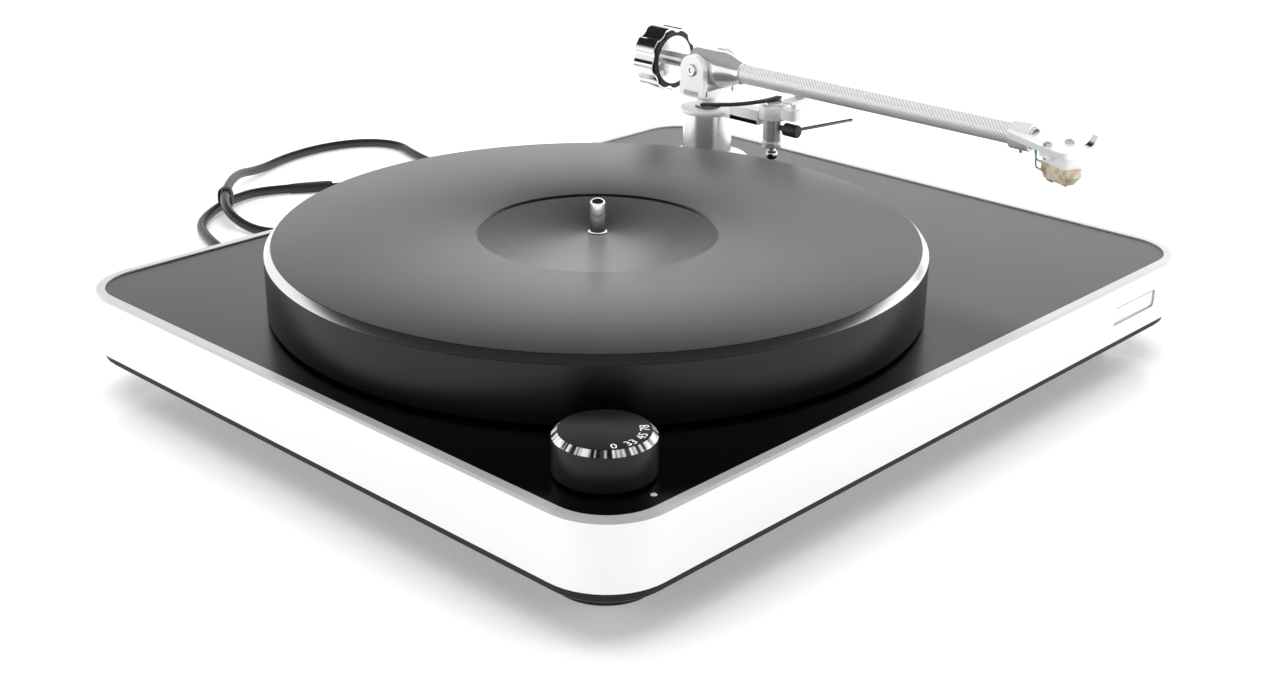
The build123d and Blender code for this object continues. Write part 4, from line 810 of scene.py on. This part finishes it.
rest_low, rest_high = corners_of("arm_rest")
arm_height = middle("arm_tube").z
tube_radius = 5.4 * mm
rest_y = (rest_low.y + rest_high.y) / 2
bm = bmesh.new()
drop = (pivot.y - rest_y) * sin(radians(1.9)) + 0.3 * mm
floor_top = arm_height - tube_radius - drop
outline = eased(
    [
        (-6 * mm, floor_top - 2 * mm), (7.7 * mm, floor_top - 2 * mm), (7.7 * mm, arm_height + 1 * mm),
        (5.7 * mm, arm_height + 1 * mm), (5.7 * mm, floor_top + 1.2 * mm), (4.6 * mm, floor_top),
        (-6 * mm, floor_top),
    ],
    0.7 * mm,
)
stand = Matrix.Translation((pivot.x, rest_y, 0)) @ Matrix.Rotation(radians(90), 4, "X")
block(bm, [tuple(p) for p in outline], -3.5 * mm, 3.5 * mm, stand, 0.3 * mm)
turned(
    bm,
    [(0, rest_low.z), (1.8 * mm, rest_low.z), (1.8 * mm, floor_top - 1.9 * mm), (0, floor_top - 1.9 * mm)],
    Matrix.Translation((pivot.x, rest_y, 0)), 32,
)
finish_piece("arm_rest_cradle", bm, "arm_pillar", blasted, "rest_silver", ["arm_rest"])

# ---- Lift bar and lever -------------------------------------------------------
# The curved bar stands on the lift's piston and meets the tube wherever the arm
# is. The lever is a thin dark rod in a black hub; swinging it up raises the bar.
bar_low, bar_high = corners_of("lift_bar")
bar_black = satin_finish("lift bar coating", (0.014, 0.014, 0.014), 0.5, 0.08, 2500.0, 0.00003)
bar_thickness, bar_half_width = 1.5 * mm, 1.8 * mm
section = eased(
    [
        (-bar_half_width, -bar_thickness), (bar_half_width, -bar_thickness),
        (bar_half_width, 0), (-bar_half_width, 0),
    ],
    0.5 * mm,
)


def skin_rows(bm, rows):
    """Joins rows of points into a closed skin with a face at each end."""
    for row, following in zip(rows, rows[1:]):
        for s in range(len(row)):
            t = (s + 1) % len(row)
            bm.faces.new((row[s], row[t], following[t], following[s]))
    bm.faces.new(rows[0])
    bm.faces.new(rows[-1])


bm = bmesh.new()
steps = 48
rows = []
for s in range(steps + 1):
    a = radians(-83 - 61 * s / steps)
    out = Vector((cos(a), sin(a), 0))
    shrink = 0.55 if s in (0, steps) else 1.0
    rows.append([
        bm.verts.new(
            Vector((pivot.x, pivot.y, bar_high.z - bar_thickness / 2))
            + out * (lift_reach + across * shrink)
            + Vector((0, 0, (up + bar_thickness / 2) * shrink))
        )
        for across, up in section
    ])
skin_rows(bm, rows)
piston = raised(bar_low.z, (0, 0), (1.7, 0), (2, 0.3)) + raised(bar_high.z, (2, -0.3), (0, -0.3))
turned(bm, piston, lift_axis, 32)
finish_piece("lift_bar_strip", bm, "lift_platform", bar_black, "lift_bar_black", ["lift_bar"])

lever_low, lever_high = corners_of("cue_lever")
lever_dark = satin_finish("lever steel", (0.20, 0.19, 0.17), 0.3, 0.08, 2500.0, 0.000004, metallic=1.0)
hub_rear, hub_front = rest_y + 5 * mm, rest_y - 4 * mm
along = Matrix.Translation((pivot.x, 0, lever_height)) @ Matrix.Rotation(radians(90), 4, "X")
bm = bmesh.new()
hub = raised(-hub_rear, (0, 0), (3.6, 0)) + raised(-hub_front, (3.6, -0.6), (3.0, 0), (0, 0))
turned(bm, eased(hub, 0.3 * mm, closed=False), along, 48)
axle = raised(-lift_centre.y, (0, 0), (1.5, 0)) + raised(-hub_rear, (1.5, 0), (0, 0))
turned(bm, axle, along, 32)
for face in bm.faces:
    face.material_index = 1
tip = Vector((lever_high.x, lever_low.y + 0.9 * mm, lever_height))
root = Vector((pivot.x, rest_y, lever_height))
reach = (tip - root).length
swing_to = Matrix.Translation(root) @ (tip - root).to_track_quat("Z", "Y").to_matrix().to_4x4()
rod = [(0, 0), (0.9 * mm, 0), (0.9 * mm, reach - 0.2 * mm), (0, reach - 0.2 * mm)]
turned(bm, eased(rod, 0.5 * mm, closed=False, steps=4), swing_to, 24)
finish_piece("cue_lever_rod", bm, "cue_lever", [lever_dark, moulded_black], "lever_steel", ["cue_lever"])

# ---- Yoke ---------------------------------------------------------------------
# A machined fork turns on the pillar's axle and carries the arm between two
# cheeks, on hardened pins with small capped screws outside.
yoke_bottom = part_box("yoke")[0][2]
block_radius = 10 * mm
cheek_inner, cheek_outer, cheek_half = 10.6 * mm, 14.6 * mm, 8.5 * mm
bar_bottom = arm_height - block_radius - 5.6 * mm
bm = bmesh.new()
boss = raised(yoke_bottom, (1.8, 0), (6.4, 0)) + raised(bar_bottom, (6.4, 0.3), (1.8, 0.3))
turned(bm, eased(boss, 0.3 * mm), pivot_axis, 64)
base = oblong(-cheek_outer, cheek_outer, -cheek_half, cheek_half, 3 * mm)
block(bm, base, bar_bottom, bar_bottom + 4 * mm, pivot_axis, 0.5 * mm)
arch = [(-cheek_half, bar_bottom + 1 * mm), (cheek_half, bar_bottom + 1 * mm)]
arch += [
    (cheek_half * cos(a), arm_height + cheek_half * sin(a)) for a in (pi * s / 24 for s in range(25))
]
for side in (-1, 1):
    cheek = (
        Matrix.Translation((pivot.x + side * (cheek_inner + cheek_outer) / 2, pivot.y, 0))
        @ Matrix.Rotation(radians(90), 4, "Z")
        @ Matrix.Rotation(radians(90), 4, "X")
    )
    half = (cheek_outer - cheek_inner) / 2
    block(bm, arch, -half, half, cheek, 0.5 * mm)
finish_piece("arm_fork", bm, "arm_yoke", blasted, "yoke_silver", ["yoke"])
dress("arm_axle", ground_steel)

cap_steel = satin_finish("cap screw", (0.72, 0.72, 0.73), 0.22, 0.06, 2500.0, 0.000006, metallic=1.0)
screw_cap = raised(0, (0, 6.2), (1.5, 6.2))
screw_cap += raised(cheek_outer, (1.5, 0), (3.4, 0), (3.4, 1.0), (3.1, 1.2), (1.2, 1.2), (1.0, 0.5), (0, 0.5))
bm = bmesh.new()
for side in (-1, 1):
    outward = Matrix.Translation((pivot.x, pivot.y, arm_height)) @ Matrix.Rotation(radians(90 * side), 4, "Y")
    turned(bm, eased(screw_cap, 0.15 * mm, closed=False), outward, 48)
finish_piece("fork_pins", bm, "arm_yoke", cap_steel, "pin_steel", ["pivot_pins"])

# ---- Bearing block and stub ---------------------------------------------------
# The polished block sits between the cheeks and flares down to the tube; a thin
# stub at the back carries the counterweight.
block_metal = brushed_finish(
    "bearing block aluminium", (0.92, 0.92, 0.93), 0.14, 0.7, (60, 4000, 60), 0.14, 0.08, 0.000003
)
forward = Matrix.Translation((pivot.x, pivot.y, arm_height)) @ Matrix.Rotation(radians(90), 4, "X")
stub_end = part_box("bearing_block")[1][1] - pivot.y
flare = [
    (block_radius + (6.3 * mm - block_radius) * (1 - cos(pi * t)) / 2, (9 + 17 * t) * mm)
    for t in (s / 12 for s in range(13))
]
profile = [
    (0, -stub_end), (3.4 * mm, -stub_end), (4 * mm, -stub_end + 0.6 * mm), (4 * mm, -9 * mm),
    (9.2 * mm, -9 * mm), (block_radius, -8.2 * mm), *flare, (5.6 * mm, 26.2 * mm), (5.42 * mm, 26 * mm),
    (5.42 * mm, 17 * mm), (0, 17 * mm),
]
turned_piece(
    "arm_housing", profile, forward, 96, "tonearm", block_metal, "block_silver", ["bearing_block"], sharp=28
)

# ---- Arm tube -----------------------------------------------------------------
# A straight tube wound from silvered carbon: a two-by-two twill laid at an angle,
# under clear lacquer.
tube_low, tube_high = corners_of("arm_tube")
around_count = 64
weave, weave_in, weave_out = effect_group(
    "silver twill",
    [("Axis", "Vector", (0, 0, 0)), ("Across", "Float", 5.09), ("Cell", "Float", 0.00106)],
    [("Mask", "Float"), ("Height", "Float"), ("Tow", "Float")],
)
apart = vector_maths(weave, "SUBTRACT", place_on(weave), weave_in.outputs["Axis"])
parts = add_node(weave, "ShaderNodeSeparateXYZ", apart)
turn = maths(weave, "ARCTAN2", parts.outputs[0], parts.outputs[2])
round_part = maths(weave, "MULTIPLY", turn, weave_in.outputs["Across"])
long_part = maths(weave, "DIVIDE", parts.outputs[1], weave_in.outputs["Cell"])
steps_apart = maths(weave, "SUBTRACT", maths(weave, "FLOOR", round_part), maths(weave, "FLOOR", long_part))
over = maths(weave, "LESS_THAN", maths(weave, "FLOORED_MODULO", steps_apart, 4.0), 1.5)


def tow_crown(way):
    """Rounded height across one tow."""
    off_middle = maths(weave, "ABSOLUTE", maths(weave, "SUBTRACT", maths(weave, "FRACT", way), 0.5))
    fall = maths(weave, "MULTIPLY", maths(weave, "POWER", off_middle, 2.0), 4.0)
    return maths(weave, "SUBTRACT", 1.0, fall)


crown_one, crown_two = tow_crown(round_part), tow_crown(long_part)
under = maths(weave, "SUBTRACT", 1.0, over)
upper, lower = maths(weave, "MULTIPLY", over, crown_one), maths(weave, "MULTIPLY", under, crown_two)
weave.links.new(over, weave_out.inputs["Mask"])
weave.links.new(maths(weave, "ADD", upper, lower), weave_out.inputs["Height"])
fibre_run = add_node(weave, "ShaderNodeMix", over, None, long_part, round_part, data_type="FLOAT")
weave.links.new(line_noise(weave, fibre_run.outputs[0], 9.0, 2.0, 0.6), weave_out.inputs["Tow"])

silver_weave, tree, shader = new_material(
    "silver carbon weave", (0.9, 0.9, 0.91), 0.3, 0.25, Coat_Weight=0.6, Coat_Roughness=0.06
)
cloth = use_group(
    tree, weave, Axis=(pivot.x, 0, arm_height), Across=around_count / (2 * pi),
    Cell=2 * pi * tube_radius / around_count,
)
# The two tow directions get different base colours as a painted glint, and the hollows between tows are painted
# darker as painted shade.
tows_painted_glint = mix_colours(tree, cloth.outputs["Mask"], (0.62, 0.63, 0.64, 1), (0.94, 0.94, 0.95, 1))
gap_painted_shade = ramp_between(tree, cloth.outputs["Height"], 0.0, 1.0, 0.0, 0.35)
shaded = mix_colours(tree, gap_painted_shade, (0.42, 0.42, 0.43, 1), tows_painted_glint)
tree.links.new(shaded, shader.inputs["Base Color"])
tree.links.new(ramp_between(tree, cloth.outputs["Tow"], 0.24, 0.42, 0.3, 0.7), shader.inputs["Roughness"])
press_in(tree, shader, cloth.outputs["Height"], 0.00003)
tube_length = tube_high.y - tube_low.y
tube_from = pivot.y - tube_high.y
profile = [
    (4.7 * mm, tube_from), (tube_radius, tube_from), (tube_radius, tube_from + tube_length - 0.2 * mm),
    (tube_radius - 0.2 * mm, tube_from + tube_length), (4.8 * mm, tube_from + tube_length),
    (4.7 * mm, tube_from + tube_length - 0.1 * mm),
]
turned_piece("arm_tube_wound", profile, forward, 96, "tonearm", silver_weave, "tube_carbon", ["arm_tube"])

# ---- Counterweight ------------------------------------------------------------
# One polished steel disc with a fluted rim slides on the stub and hangs a little
# below the tube's axis. A black ring is let in round its front face.
weight_steel = brushed_finish(
    "counterweight steel", (0.80, 0.79, 0.79), 0.08, 1.0, (90, 3500, 90), 0.1, 0.08, 0.000002
)
groove_black = satin_finish("weight groove", (0.012, 0.012, 0.012), 0.5, 0.06, 2000.0, 0.00001)
flute_count, flute_radius, flute_offset = 8, 7.2 * mm, 5.6 * mm


def fluted_rim(radius, steps=288):
    """Outline of a round weight with shallow finger flutes."""
    points = []
    for s in range(steps):
        a = 2 * pi * s / steps
        r = radius
        away = radius + flute_offset
        for k in range(flute_count):
            off = a - radians(11) - 2 * pi * k / flute_count
            across = away * sin(off)
            if cos(off) > 0 and abs(across) < flute_radius:
                r = min(r, away * cos(off) - sqrt(flute_radius ** 2 - across ** 2))
        points.append((r * cos(a), r * sin(a)))
    return points


weight_drop = 0.6 * mm
weight_axis = (
    Matrix.Translation((pivot.x, pivot.y, arm_height - weight_drop)) @ Matrix.Rotation(radians(-90), 4, "X")
)
weight_near, weight_far = (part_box("counterweight")[end][1] - pivot.y for end in (0, 1))
weight_radius = 18.3 * mm
bm = bmesh.new()
block(bm, fluted_rim(weight_radius), weight_near + 1.2 * mm, weight_far, weight_axis, 1.0 * mm, 4)
before = len(bm.faces)
groove_rim = fluted_rim(weight_radius - 1.5 * mm)
block(bm, groove_rim, weight_near + 0.3 * mm, weight_near + 1.4 * mm, weight_axis, 0)
bm.faces.ensure_lookup_table()
for face in bm.faces[before:]:
    face.material_index = 1
block(bm, circle(weight_radius - 4.6 * mm, 96), weight_near, weight_near + 1.0 * mm, weight_axis, 0.3 * mm, 3)
finish_piece(
    "fluted_counterweight", bm, "counterweight", [weight_steel, groove_black], "weight_steel",
    ["counterweight"], 30,
)

# ---- Headshell ----------------------------------------------------------------
# A bright aluminium plate is clamped to the tube's end by a slit collar and set
# over at the offset angle; a thin finger lift curls up from its outer edge.
offset_angle = radians(23)
shell_forward = Vector((-sin(offset_angle), -cos(offset_angle), 0))
shell_out = Vector((cos(offset_angle), -sin(offset_angle), 0))
tube_end = 206.691 * mm
shell_axes = Matrix((
    (shell_forward.x, shell_out.x, 0, pivot.x),
    (shell_forward.y, shell_out.y, 0, pivot.y - tube_end),
    (0, 0, 1, arm_height),
    (0, 0, 0, 1),
))
shell_metal = satin_finish(
    "headshell aluminium", (0.92, 0.92, 0.93), 0.3, 0.06, 3200.0, 0.000006, metallic=0.4
)
bm = bmesh.new()
plate = raised(0, (-4, -9.5), (30, -9.5), (38, -8.6), (42, -5.5), (42, 5.5), (38, 8.6), (30, 9.5), (-4, 9.5))
plate = eased(plate, 2.5 * mm, steps=5)
block(bm, [tuple(p) for p in plate], -0.3 * mm, 2.7 * mm, shell_axes, 0.5 * mm, 3)
collar_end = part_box("arm_tube")[0][1]
collar_from = pivot.y - collar_end - 12 * mm
clamp_ring = raised(collar_from, (5.42, 0), (7.1, 0), (7.1, 11), (5.42, 11))
turned(bm, eased(clamp_ring, 0.5 * mm), forward, 72)
finish_piece("headshell_plate", bm, "tonearm", shell_metal, "shell_silver", ["headshell"])

bm = bmesh.new()
strip = raised(0, (0.05, 1.2), (4.6, 1.2), (6.2, 2.3), (7.4, 4.2), (8.3, 6.6))
curl = [Vector(p) for p in strip]
for _ in range(2):
    curl = [curl[0]] + [
        point for a, b in zip(curl, curl[1:]) for point in (a * 0.75 + b * 0.25, a * 0.25 + b * 0.75)
    ] + [curl[-1]]
rows = []
for place, point in enumerate(curl):
    way = (curl[min(place + 1, len(curl) - 1)] - curl[max(place - 1, 0)]).normalized()
    across = Vector((-way.y, way.x)) * 0.5 * mm
    width = (2.4 - 0.9 * (place / len(curl)) ** 2) * mm
    row = []
    for along_edge, through in ((-1, -1), (1, -1), (1, 1), (-1, 1)):
        spot = point + across * through
        corner = Vector((30 * mm + along_edge * width, 9.5 * mm + spot.x, spot.y))
        row.append(bm.verts.new(shell_axes @ corner))
    rows.append(row)
skin_rows(bm, rows)
round_edges(bm, 40, 0.15 * mm)
finish_piece("finger_lift_curl", bm, "tonearm", ground_steel, "finger_steel", ["finger_lift"])

mount_x = 25.5 * mm
shell_screw = raised(
    0, (0, -3.8), (1.3, -3.8), (1.3, 2.7), (2.3, 2.7), (2.3, 4.1), (2.1, 4.3), (1.1, 4.3), (1.1, 3.3), (0, 3.3)
)
bm = bmesh.new()
for across in (-6.35 * mm, 6.35 * mm):
    spot = shell_axes @ Matrix.Translation((mount_x, across, 0))
    turned(bm, eased(shell_screw, 0.12 * mm, closed=False), spot, 36)
clamp = Matrix.Translation((pivot.x, pivot.y - tube_end + 2 * mm, arm_height - tube_radius - 0.02 * mm))
clamp_screw = raised(0, (0, 0), (1.08, 0), (1.08, -3.2), (0, -3.2))
turned(bm, eased(clamp_screw, 0.3 * mm, closed=False), clamp, 24)
finish_piece("shell_screws", bm, "tonearm", ground_steel, "shell_screw_steel", ["headshell_screws"])

# ---- Cartridge ----------------------------------------------------------------
# A white moulded mount is screwed under the plate; the amber body under it tapers
# to the stylus, and four fine leads come forward from the tube to its pins.
mount_white = satin_finish("cartridge mount", (0.90, 0.90, 0.89), 0.35, 0.06, 2500.0, 0.000006)
bm = bmesh.new()
flange = oblong(21 * mm, 30 * mm, -8.5 * mm, 8.5 * mm, 2 * mm)
block(bm, flange, -2.8 * mm, -0.3 * mm, shell_axes, 0.4 * mm, 3)
neck = oblong(20 * mm, 39 * mm, -4.8 * mm, 4.8 * mm, 1.5 * mm)
block(bm, neck, -6.3 * mm, -0.35 * mm, shell_axes, 0.4 * mm, 3)
finish_piece("cartridge_top", bm, "tonearm", mount_white, "cartridge_white", ["cartridge_mount"])

amber, tree, shader = new_material(
    "cartridge amber", (0.72, 0.58, 0.42), 0.16, Coat_Weight=0.3, Transmission_Weight=0.35, IOR=1.5
)
cloudy = ramp_between(tree, noise(tree, place_on(tree), 160.0, 2.0), 0.0, 1.0, 0.3, 0.6)
amber_tone = mix_colours(tree, cloudy, (0.55, 0.38, 0.22, 1), (0.90, 0.82, 0.70, 1))
tree.links.new(amber_tone, shader.inputs["Base Color"])
pin_gold = satin_finish("cartridge pins", (0.75, 0.60, 0.32), 0.22, 0.05, 2500.0, 0.000004, metallic=1.0)
bm = bmesh.new()
levels = [
    (-6.32 * mm, 19 * mm, 40 * mm, 4.8 * mm), (-10.3 * mm, 19 * mm, 40 * mm, 4.8 * mm),
    (-14.4 * mm, 20 * mm, 37 * mm, 3.3 * mm),
]
rows = []
for level, rear, front, half in levels:
    outline = oblong(rear, front, -half, half, 1.5 * mm, 4)
    rows.append([bm.verts.new(shell_axes @ Vector((x, y, level))) for x, y in outline])
skin_rows(bm, rows)
round_edges(bm, 28, 0.35 * mm)
pin_places = [(y * mm, z * mm) for y in (-2.6, 2.6) for z in (-7.8, -11.6)]
before = len(bm.faces)
pin_profile = eased(raised(0, (0, 0), (0.6, 0), (0.6, 4.9), (0, 4.9)), 0.25 * mm, closed=False)
for y, z in pin_places:
    pin = shell_axes @ Matrix.Translation((20.4 * mm, y, z)) @ Matrix.Rotation(radians(-90), 4, "Y")
    turned(bm, pin_profile, pin, 20)
bm.faces.ensure_lookup_table()
for face in bm.faces[before:]:
    face.material_index = 1
finish_piece("cartridge_shell", bm, "tonearm", [amber, pin_gold], "cartridge_amber", ["cartridge_body"])

cantilever_alloy = satin_finish(
    "cantilever alloy", (0.78, 0.78, 0.79), 0.25, 0.05, 2500.0, 0.000004, metallic=1.0
)
bm = bmesh.new()
holder = oblong(21 * mm, 27 * mm, -2 * mm, 2 * mm, 0.6 * mm, 3)
block(bm, holder, -15.8 * mm, -14.4 * mm, shell_axes, 0.2 * mm)
start = shell_axes @ Vector((26.5 * mm, 0, -15.1 * mm))
end = shell_axes @ Vector((35.4 * mm, 0, -15.8 * mm))
run = (end - start).length
aim = Matrix.Translation(start) @ (end - start).to_track_quat("Z", "Y").to_matrix().to_4x4()
turned(bm, [(0, 0), (0.35 * mm, 0), (0.28 * mm, run), (0, run)], aim, 20)
needle = shell_axes @ Matrix.Translation((35 * mm, 0, 0))
point = raised(0, (0, -16.7), (0.05, -16.65), (0.14, -16.3), (0.14, -15.9), (0, -15.9))
turned(bm, point, needle, 16)
finish_piece("stylus_cantilever", bm, "tonearm", cantilever_alloy, "stylus_metal", ["stylus"])


def round_wire(name, points, radius, material, body, node):
    """A round cord on a smooth curve with these control points, standing for a CAD node."""
    curve = bpy.data.curves.new(name, "CURVE")
    curve.dimensions = "3D"
    curve.bevel_depth = radius
    curve.bevel_resolution = 6
    curve.resolution_u = 16
    curve.use_fill_caps = True
    spline = curve.splines.new("NURBS")
    spline.points.add(len(points) - 1)
    for point, place in zip(spline.points, points):
        point.co = (*place, 1)
    spline.order_u = 3
    spline.use_endpoint_u = True
    curve.materials.append(material)
    made = bpy.data.objects.new(name, curve)
    bpy.context.scene.collection.objects.link(made)
    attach(made, body)
    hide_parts(node)
    return made


tube_mouth = pivot.y - 211.9 * mm
for (y, z), mouth, colour, name in zip(
    pin_places, (-3, -1, 1, 3),
    ((0.04, 0.35, 0.12), (0.05, 0.10, 0.45), (0.75, 0.75, 0.72), (0.70, 0.03, 0.04)),
    ("green", "blue", "white", "red"),
):
    sleeve = satin_finish("lead sleeve " + name, colour, 0.32, 0.06, 3000.0, 0.000006, Coat_Weight=0.2)
    mouth_point = Vector((pivot.x + mouth * mm, tube_mouth, arm_height - 2.6 * mm))
    round_wire(
        "cartridge_lead_" + name,
        [
            mouth_point,
            mouth_point + Vector((0, -1.6 * mm, -0.1 * mm)),
            shell_axes @ Vector((12.8 * mm, y, z)),
            shell_axes @ Vector((15.5 * mm, y, z)),
            shell_axes @ Vector((17.4 * mm, y, z)),
        ],
        0.42 * mm, sleeve, "tonearm", "cartridge_leads",
    )

# ---- Rear panel ---------------------------------------------------------------
# A black panel closes the window in the band's rear. It holds the low-voltage
# socket and the sleeve of the phono lead.
for node, material in {
    "rear_panel": powder_black,
    "power_socket": moulded_black,
    "inner_lead": moulded_black,
}.items():
    dress(node, material)

relief_low, relief_high = corners_of("lead_relief")
lead_diameter, leg_diameter = 5.6 * mm, 3.6 * mm
panel_height = middle("lead_relief").z
panel_face = relief_low.y + 3 * mm
sleeve_rubber = satin_finish("sleeve rubber", (0.016, 0.016, 0.016), 0.55, 0.08, 2500.0, 0.00003)
backward = Matrix.Translation((pivot.x, 0, panel_height)) @ Matrix.Rotation(radians(-90), 4, "X")
relief_end = relief_high.y
ribs = [
    (0, relief_low.y), (5.2 * mm, relief_low.y), (5.2 * mm, panel_face), (6.4 * mm, panel_face),
    (6.4 * mm, panel_face + 1.6 * mm), (6.0 * mm, panel_face + 2 * mm), (5.15 * mm, panel_face + 2 * mm),
]
rib_count = 7
for s in range(rib_count):
    t = (s + 0.5) / rib_count
    y = panel_face + 2 * mm + t * (relief_end - panel_face - 2 * mm)
    r = 5.1 * mm + (3.2 * mm - 5.1 * mm) * t
    ribs += [(r, y - 1.2 * mm), (r, y + 0.5 * mm), (r - 0.7 * mm, y + 0.7 * mm), (r - 0.7 * mm, y + 1.4 * mm)]
ribs += [(2.9 * mm, relief_end), (0, relief_end)]
relief = turned_piece(
    "lead_sleeve", ribs, backward, 56, "plinth", sleeve_rubber, "relief_black", ["lead_relief"], sharp=40
)

# ---- Phono lead ---------------------------------------------------------------
# A limp screened lead leaves the rear of the deck, lies in a loose loop behind it
# and splits into two thinner legs with metal phono plugs.
jacket, tree, shader = new_material(
    "cable jacket", (0.016, 0.016, 0.017), 0.38, Specular_IOR_Level=0.5, Coat_Weight=0.1
)
wear(tree, shader, satin, 0.00005, Grain=1600.0, Base=0.36, Spread=0.14)
lead_z, leg_z, plug_z = 3.0, 2.0, 4.9
under_z = lead_z + 0.8
over_z = under_z + 6.6
lead_route = [
    (pivot.x / mm, relief_end / mm, panel_height / mm),
    (pivot.x / mm, 228.0, panel_height / mm),
    (150.5, 254.0, 24.0),
    (147.0, 282.0, 9.0),
    (143.5, 309.0, lead_z),
    (143.5, 335.0, lead_z),
    (148.5, 361.0, lead_z),
    (156.5, 386.0, lead_z),
    (144.0, 408.0, lead_z),
    (116.0, 418.0, lead_z),
    (82.0, 415.0, lead_z),
    (52.0, 403.0, lead_z),
    (20.0, 386.0, over_z),
    (-22.0, 337.0, over_z),
    (-25.0, 305.0, lead_z),
    (-12.0, 280.0, lead_z),
    (-10.0, 254.0, lead_z),
    (-32.0, 238.0, lead_z),
    (-54.0, 254.0, lead_z),
    (-57.0, 284.0, lead_z),
    (-50.0, 311.0, lead_z),
    (-40.0, 334.0, lead_z),
    (-19.0, 350.0, under_z),
    (6.0, 361.0, under_z),
    (27.0, 363.5, lead_z),
    (41.5, 355.0, lead_z),
]
route = [Vector(point) * mm for point in lead_route]
splitter_length, leg_spread = 27 * mm, 2.6 * mm
splitter_way = (route[-1] - route[-2]).normalized()
splitter_side = Vector((-splitter_way.y, splitter_way.x, 0))
splitter_end = route[-1] + splitter_way * splitter_length
main_lead = round_wire(
    "phono_lead_jacket", route, lead_diameter / 2, jacket, "plinth", "phono_lead"
)


def swell(value, power):
    """A sine or cosine raised to a power with its sign kept, which squares off a round section."""
    return abs(value) ** power * (1 if value >= 0 else -1)


bm = bmesh.new()
rows = []
for t, half_wide, half_high in (
    (0.0, 3.3, 2.8), (0.06, 3.7, 2.9), (0.3, 4.9, 2.9), (0.38, 5.1, 2.9), (0.92, 5.1, 2.9), (1.0, 4.7, 2.5),
):
    row = []
    for s in range(32):
        a = 2 * pi * s / 32
        x = half_wide * mm * swell(cos(a), 0.75)
        z = half_high * mm * swell(sin(a), 0.75)
        place = route[-1] + splitter_way * splitter_length * t + splitter_side * x + Vector((0, 0, z))
        row.append(bm.verts.new(place))
    rows.append(row)
skin_rows(bm, rows)
splitter = finish_piece(
    "lead_splitter_body", bm, "plinth", sleeve_rubber, "splitter_black", ["lead_splitter"], 50
)

leg_routes = {
    "left": [
        (97.0, 345.0, leg_z), (115.0, 337.0, leg_z), (124.0, 318.0, leg_z), (122.5, 297.0, leg_z + 0.6),
        (121.0, 278.0, plug_z), (121.0, 263.0, plug_z),
    ],
    "right": [
        (92.0, 325.0, leg_z), (103.0, 310.0, leg_z), (101.0, 290.0, leg_z + 0.6), (99.0, 272.0, plug_z),
        (99.0, 258.0, plug_z),
    ],
}
plug_shell = brushed_finish(
    "plug shell", (0.42, 0.42, 0.43), 0.28, 1.0, (120, 2600, 120), 0.28, 0.14, 0.000006
)
plug_profile = raised(
    0, (0, 0), (2.4, 0), (2.6, 0.3), (2.9, 3), (4.7, 10), (4.8, 11), (4.8, 15), (4.5, 15.3), (4.5, 16),
    (4.8, 16.3), (4.8, 29.5), (4.3, 30), (4.15, 30), (4.15, 37.8), (4.0, 38), (3.6, 38), (3.6, 30.2),
    (1.6, 30.2), (1.6, 43.4), (1.0, 44.4), (0, 44.5),
)
plug_profile = eased(plug_profile, 0.2 * mm, closed=False, steps=2)
for (side, points), step in zip(leg_routes.items(), (leg_spread, -leg_spread)):
    start = splitter_end + splitter_side * step
    start.z = leg_z * mm
    second = start + splitter_way * 12.5 * mm
    second.z = leg_z * mm
    path = [start, second] + [Vector(point) * mm for point in points]
    leg = round_wire(
        side + "_leg_jacket", path, leg_diameter / 2, jacket, "plinth", side + "_leg"
    )
    way = (path[-1] - path[-2]).normalized()
    aim = Matrix.Translation(path[-1]) @ way.to_track_quat("Z", "Y").to_matrix().to_4x4()
    turned_piece(
        side + "_plug", plug_profile, aim, 48, "plinth", plug_shell, "plug_metal", ["phono_plugs"]
    )

# ---- Lead tie -----------------------------------------------------------------
# A soft black tie holds the loop where the lead crosses itself, with its loose
# end standing out to the side.
tie_centre = Vector((-5.9, 355.8, (0.15 + over_z + 2.8 + 0.85) / 2)) * mm
tie_way = Vector((0.804, 0.595, 0)).normalized()
tie_side = Vector((-tie_way.y, tie_way.x, 0))
tie_half_high = tie_centre.z - 0.15 * mm
tie_half_wide = 4.5 * mm
bm = bmesh.new()
rows = []
for along_tie in (-2.4, -2.0, 2.0, 2.4):
    skin = 0.15 if abs(along_tie) > 2.2 else 0.0
    row_outer, row_inner = [], []
    for s in range(40):
        a = 2 * pi * s / 40
        for row, shrink in ((row_outer, skin), (row_inner, 0.7)):
            wide = tie_half_wide - shrink * mm
            high = tie_half_high - shrink * mm
            x = wide * swell(cos(a), 0.6)
            z = high * swell(sin(a), 0.8)
            row.append(bm.verts.new(tie_centre + tie_way * along_tie * mm + tie_side * x + Vector((0, 0, z))))
    rows.append((row_outer, row_inner))
for (outer, inner), (outer_next, inner_next) in zip(rows, rows[1:]):
    for s in range(40):
        t = (s + 1) % 40
        bm.faces.new((outer[s], outer[t], outer_next[t], outer_next[s]))
        bm.faces.new((inner[s], inner_next[s], inner_next[t], inner[t]))
for outer, inner in (rows[0], rows[-1]):
    for s in range(40):
        t = (s + 1) % 40
        bm.faces.new((outer[s], outer[t], inner[t], inner[s]))
tie_fabric = satin_finish("tie fabric", (0.014, 0.014, 0.014), 0.8, 0.08, 1800.0, 0.0002, Sheen_Weight=0.2)
tie = finish_piece("lead_tie", bm, "plinth", tie_fabric, "lead_black", (), 50)
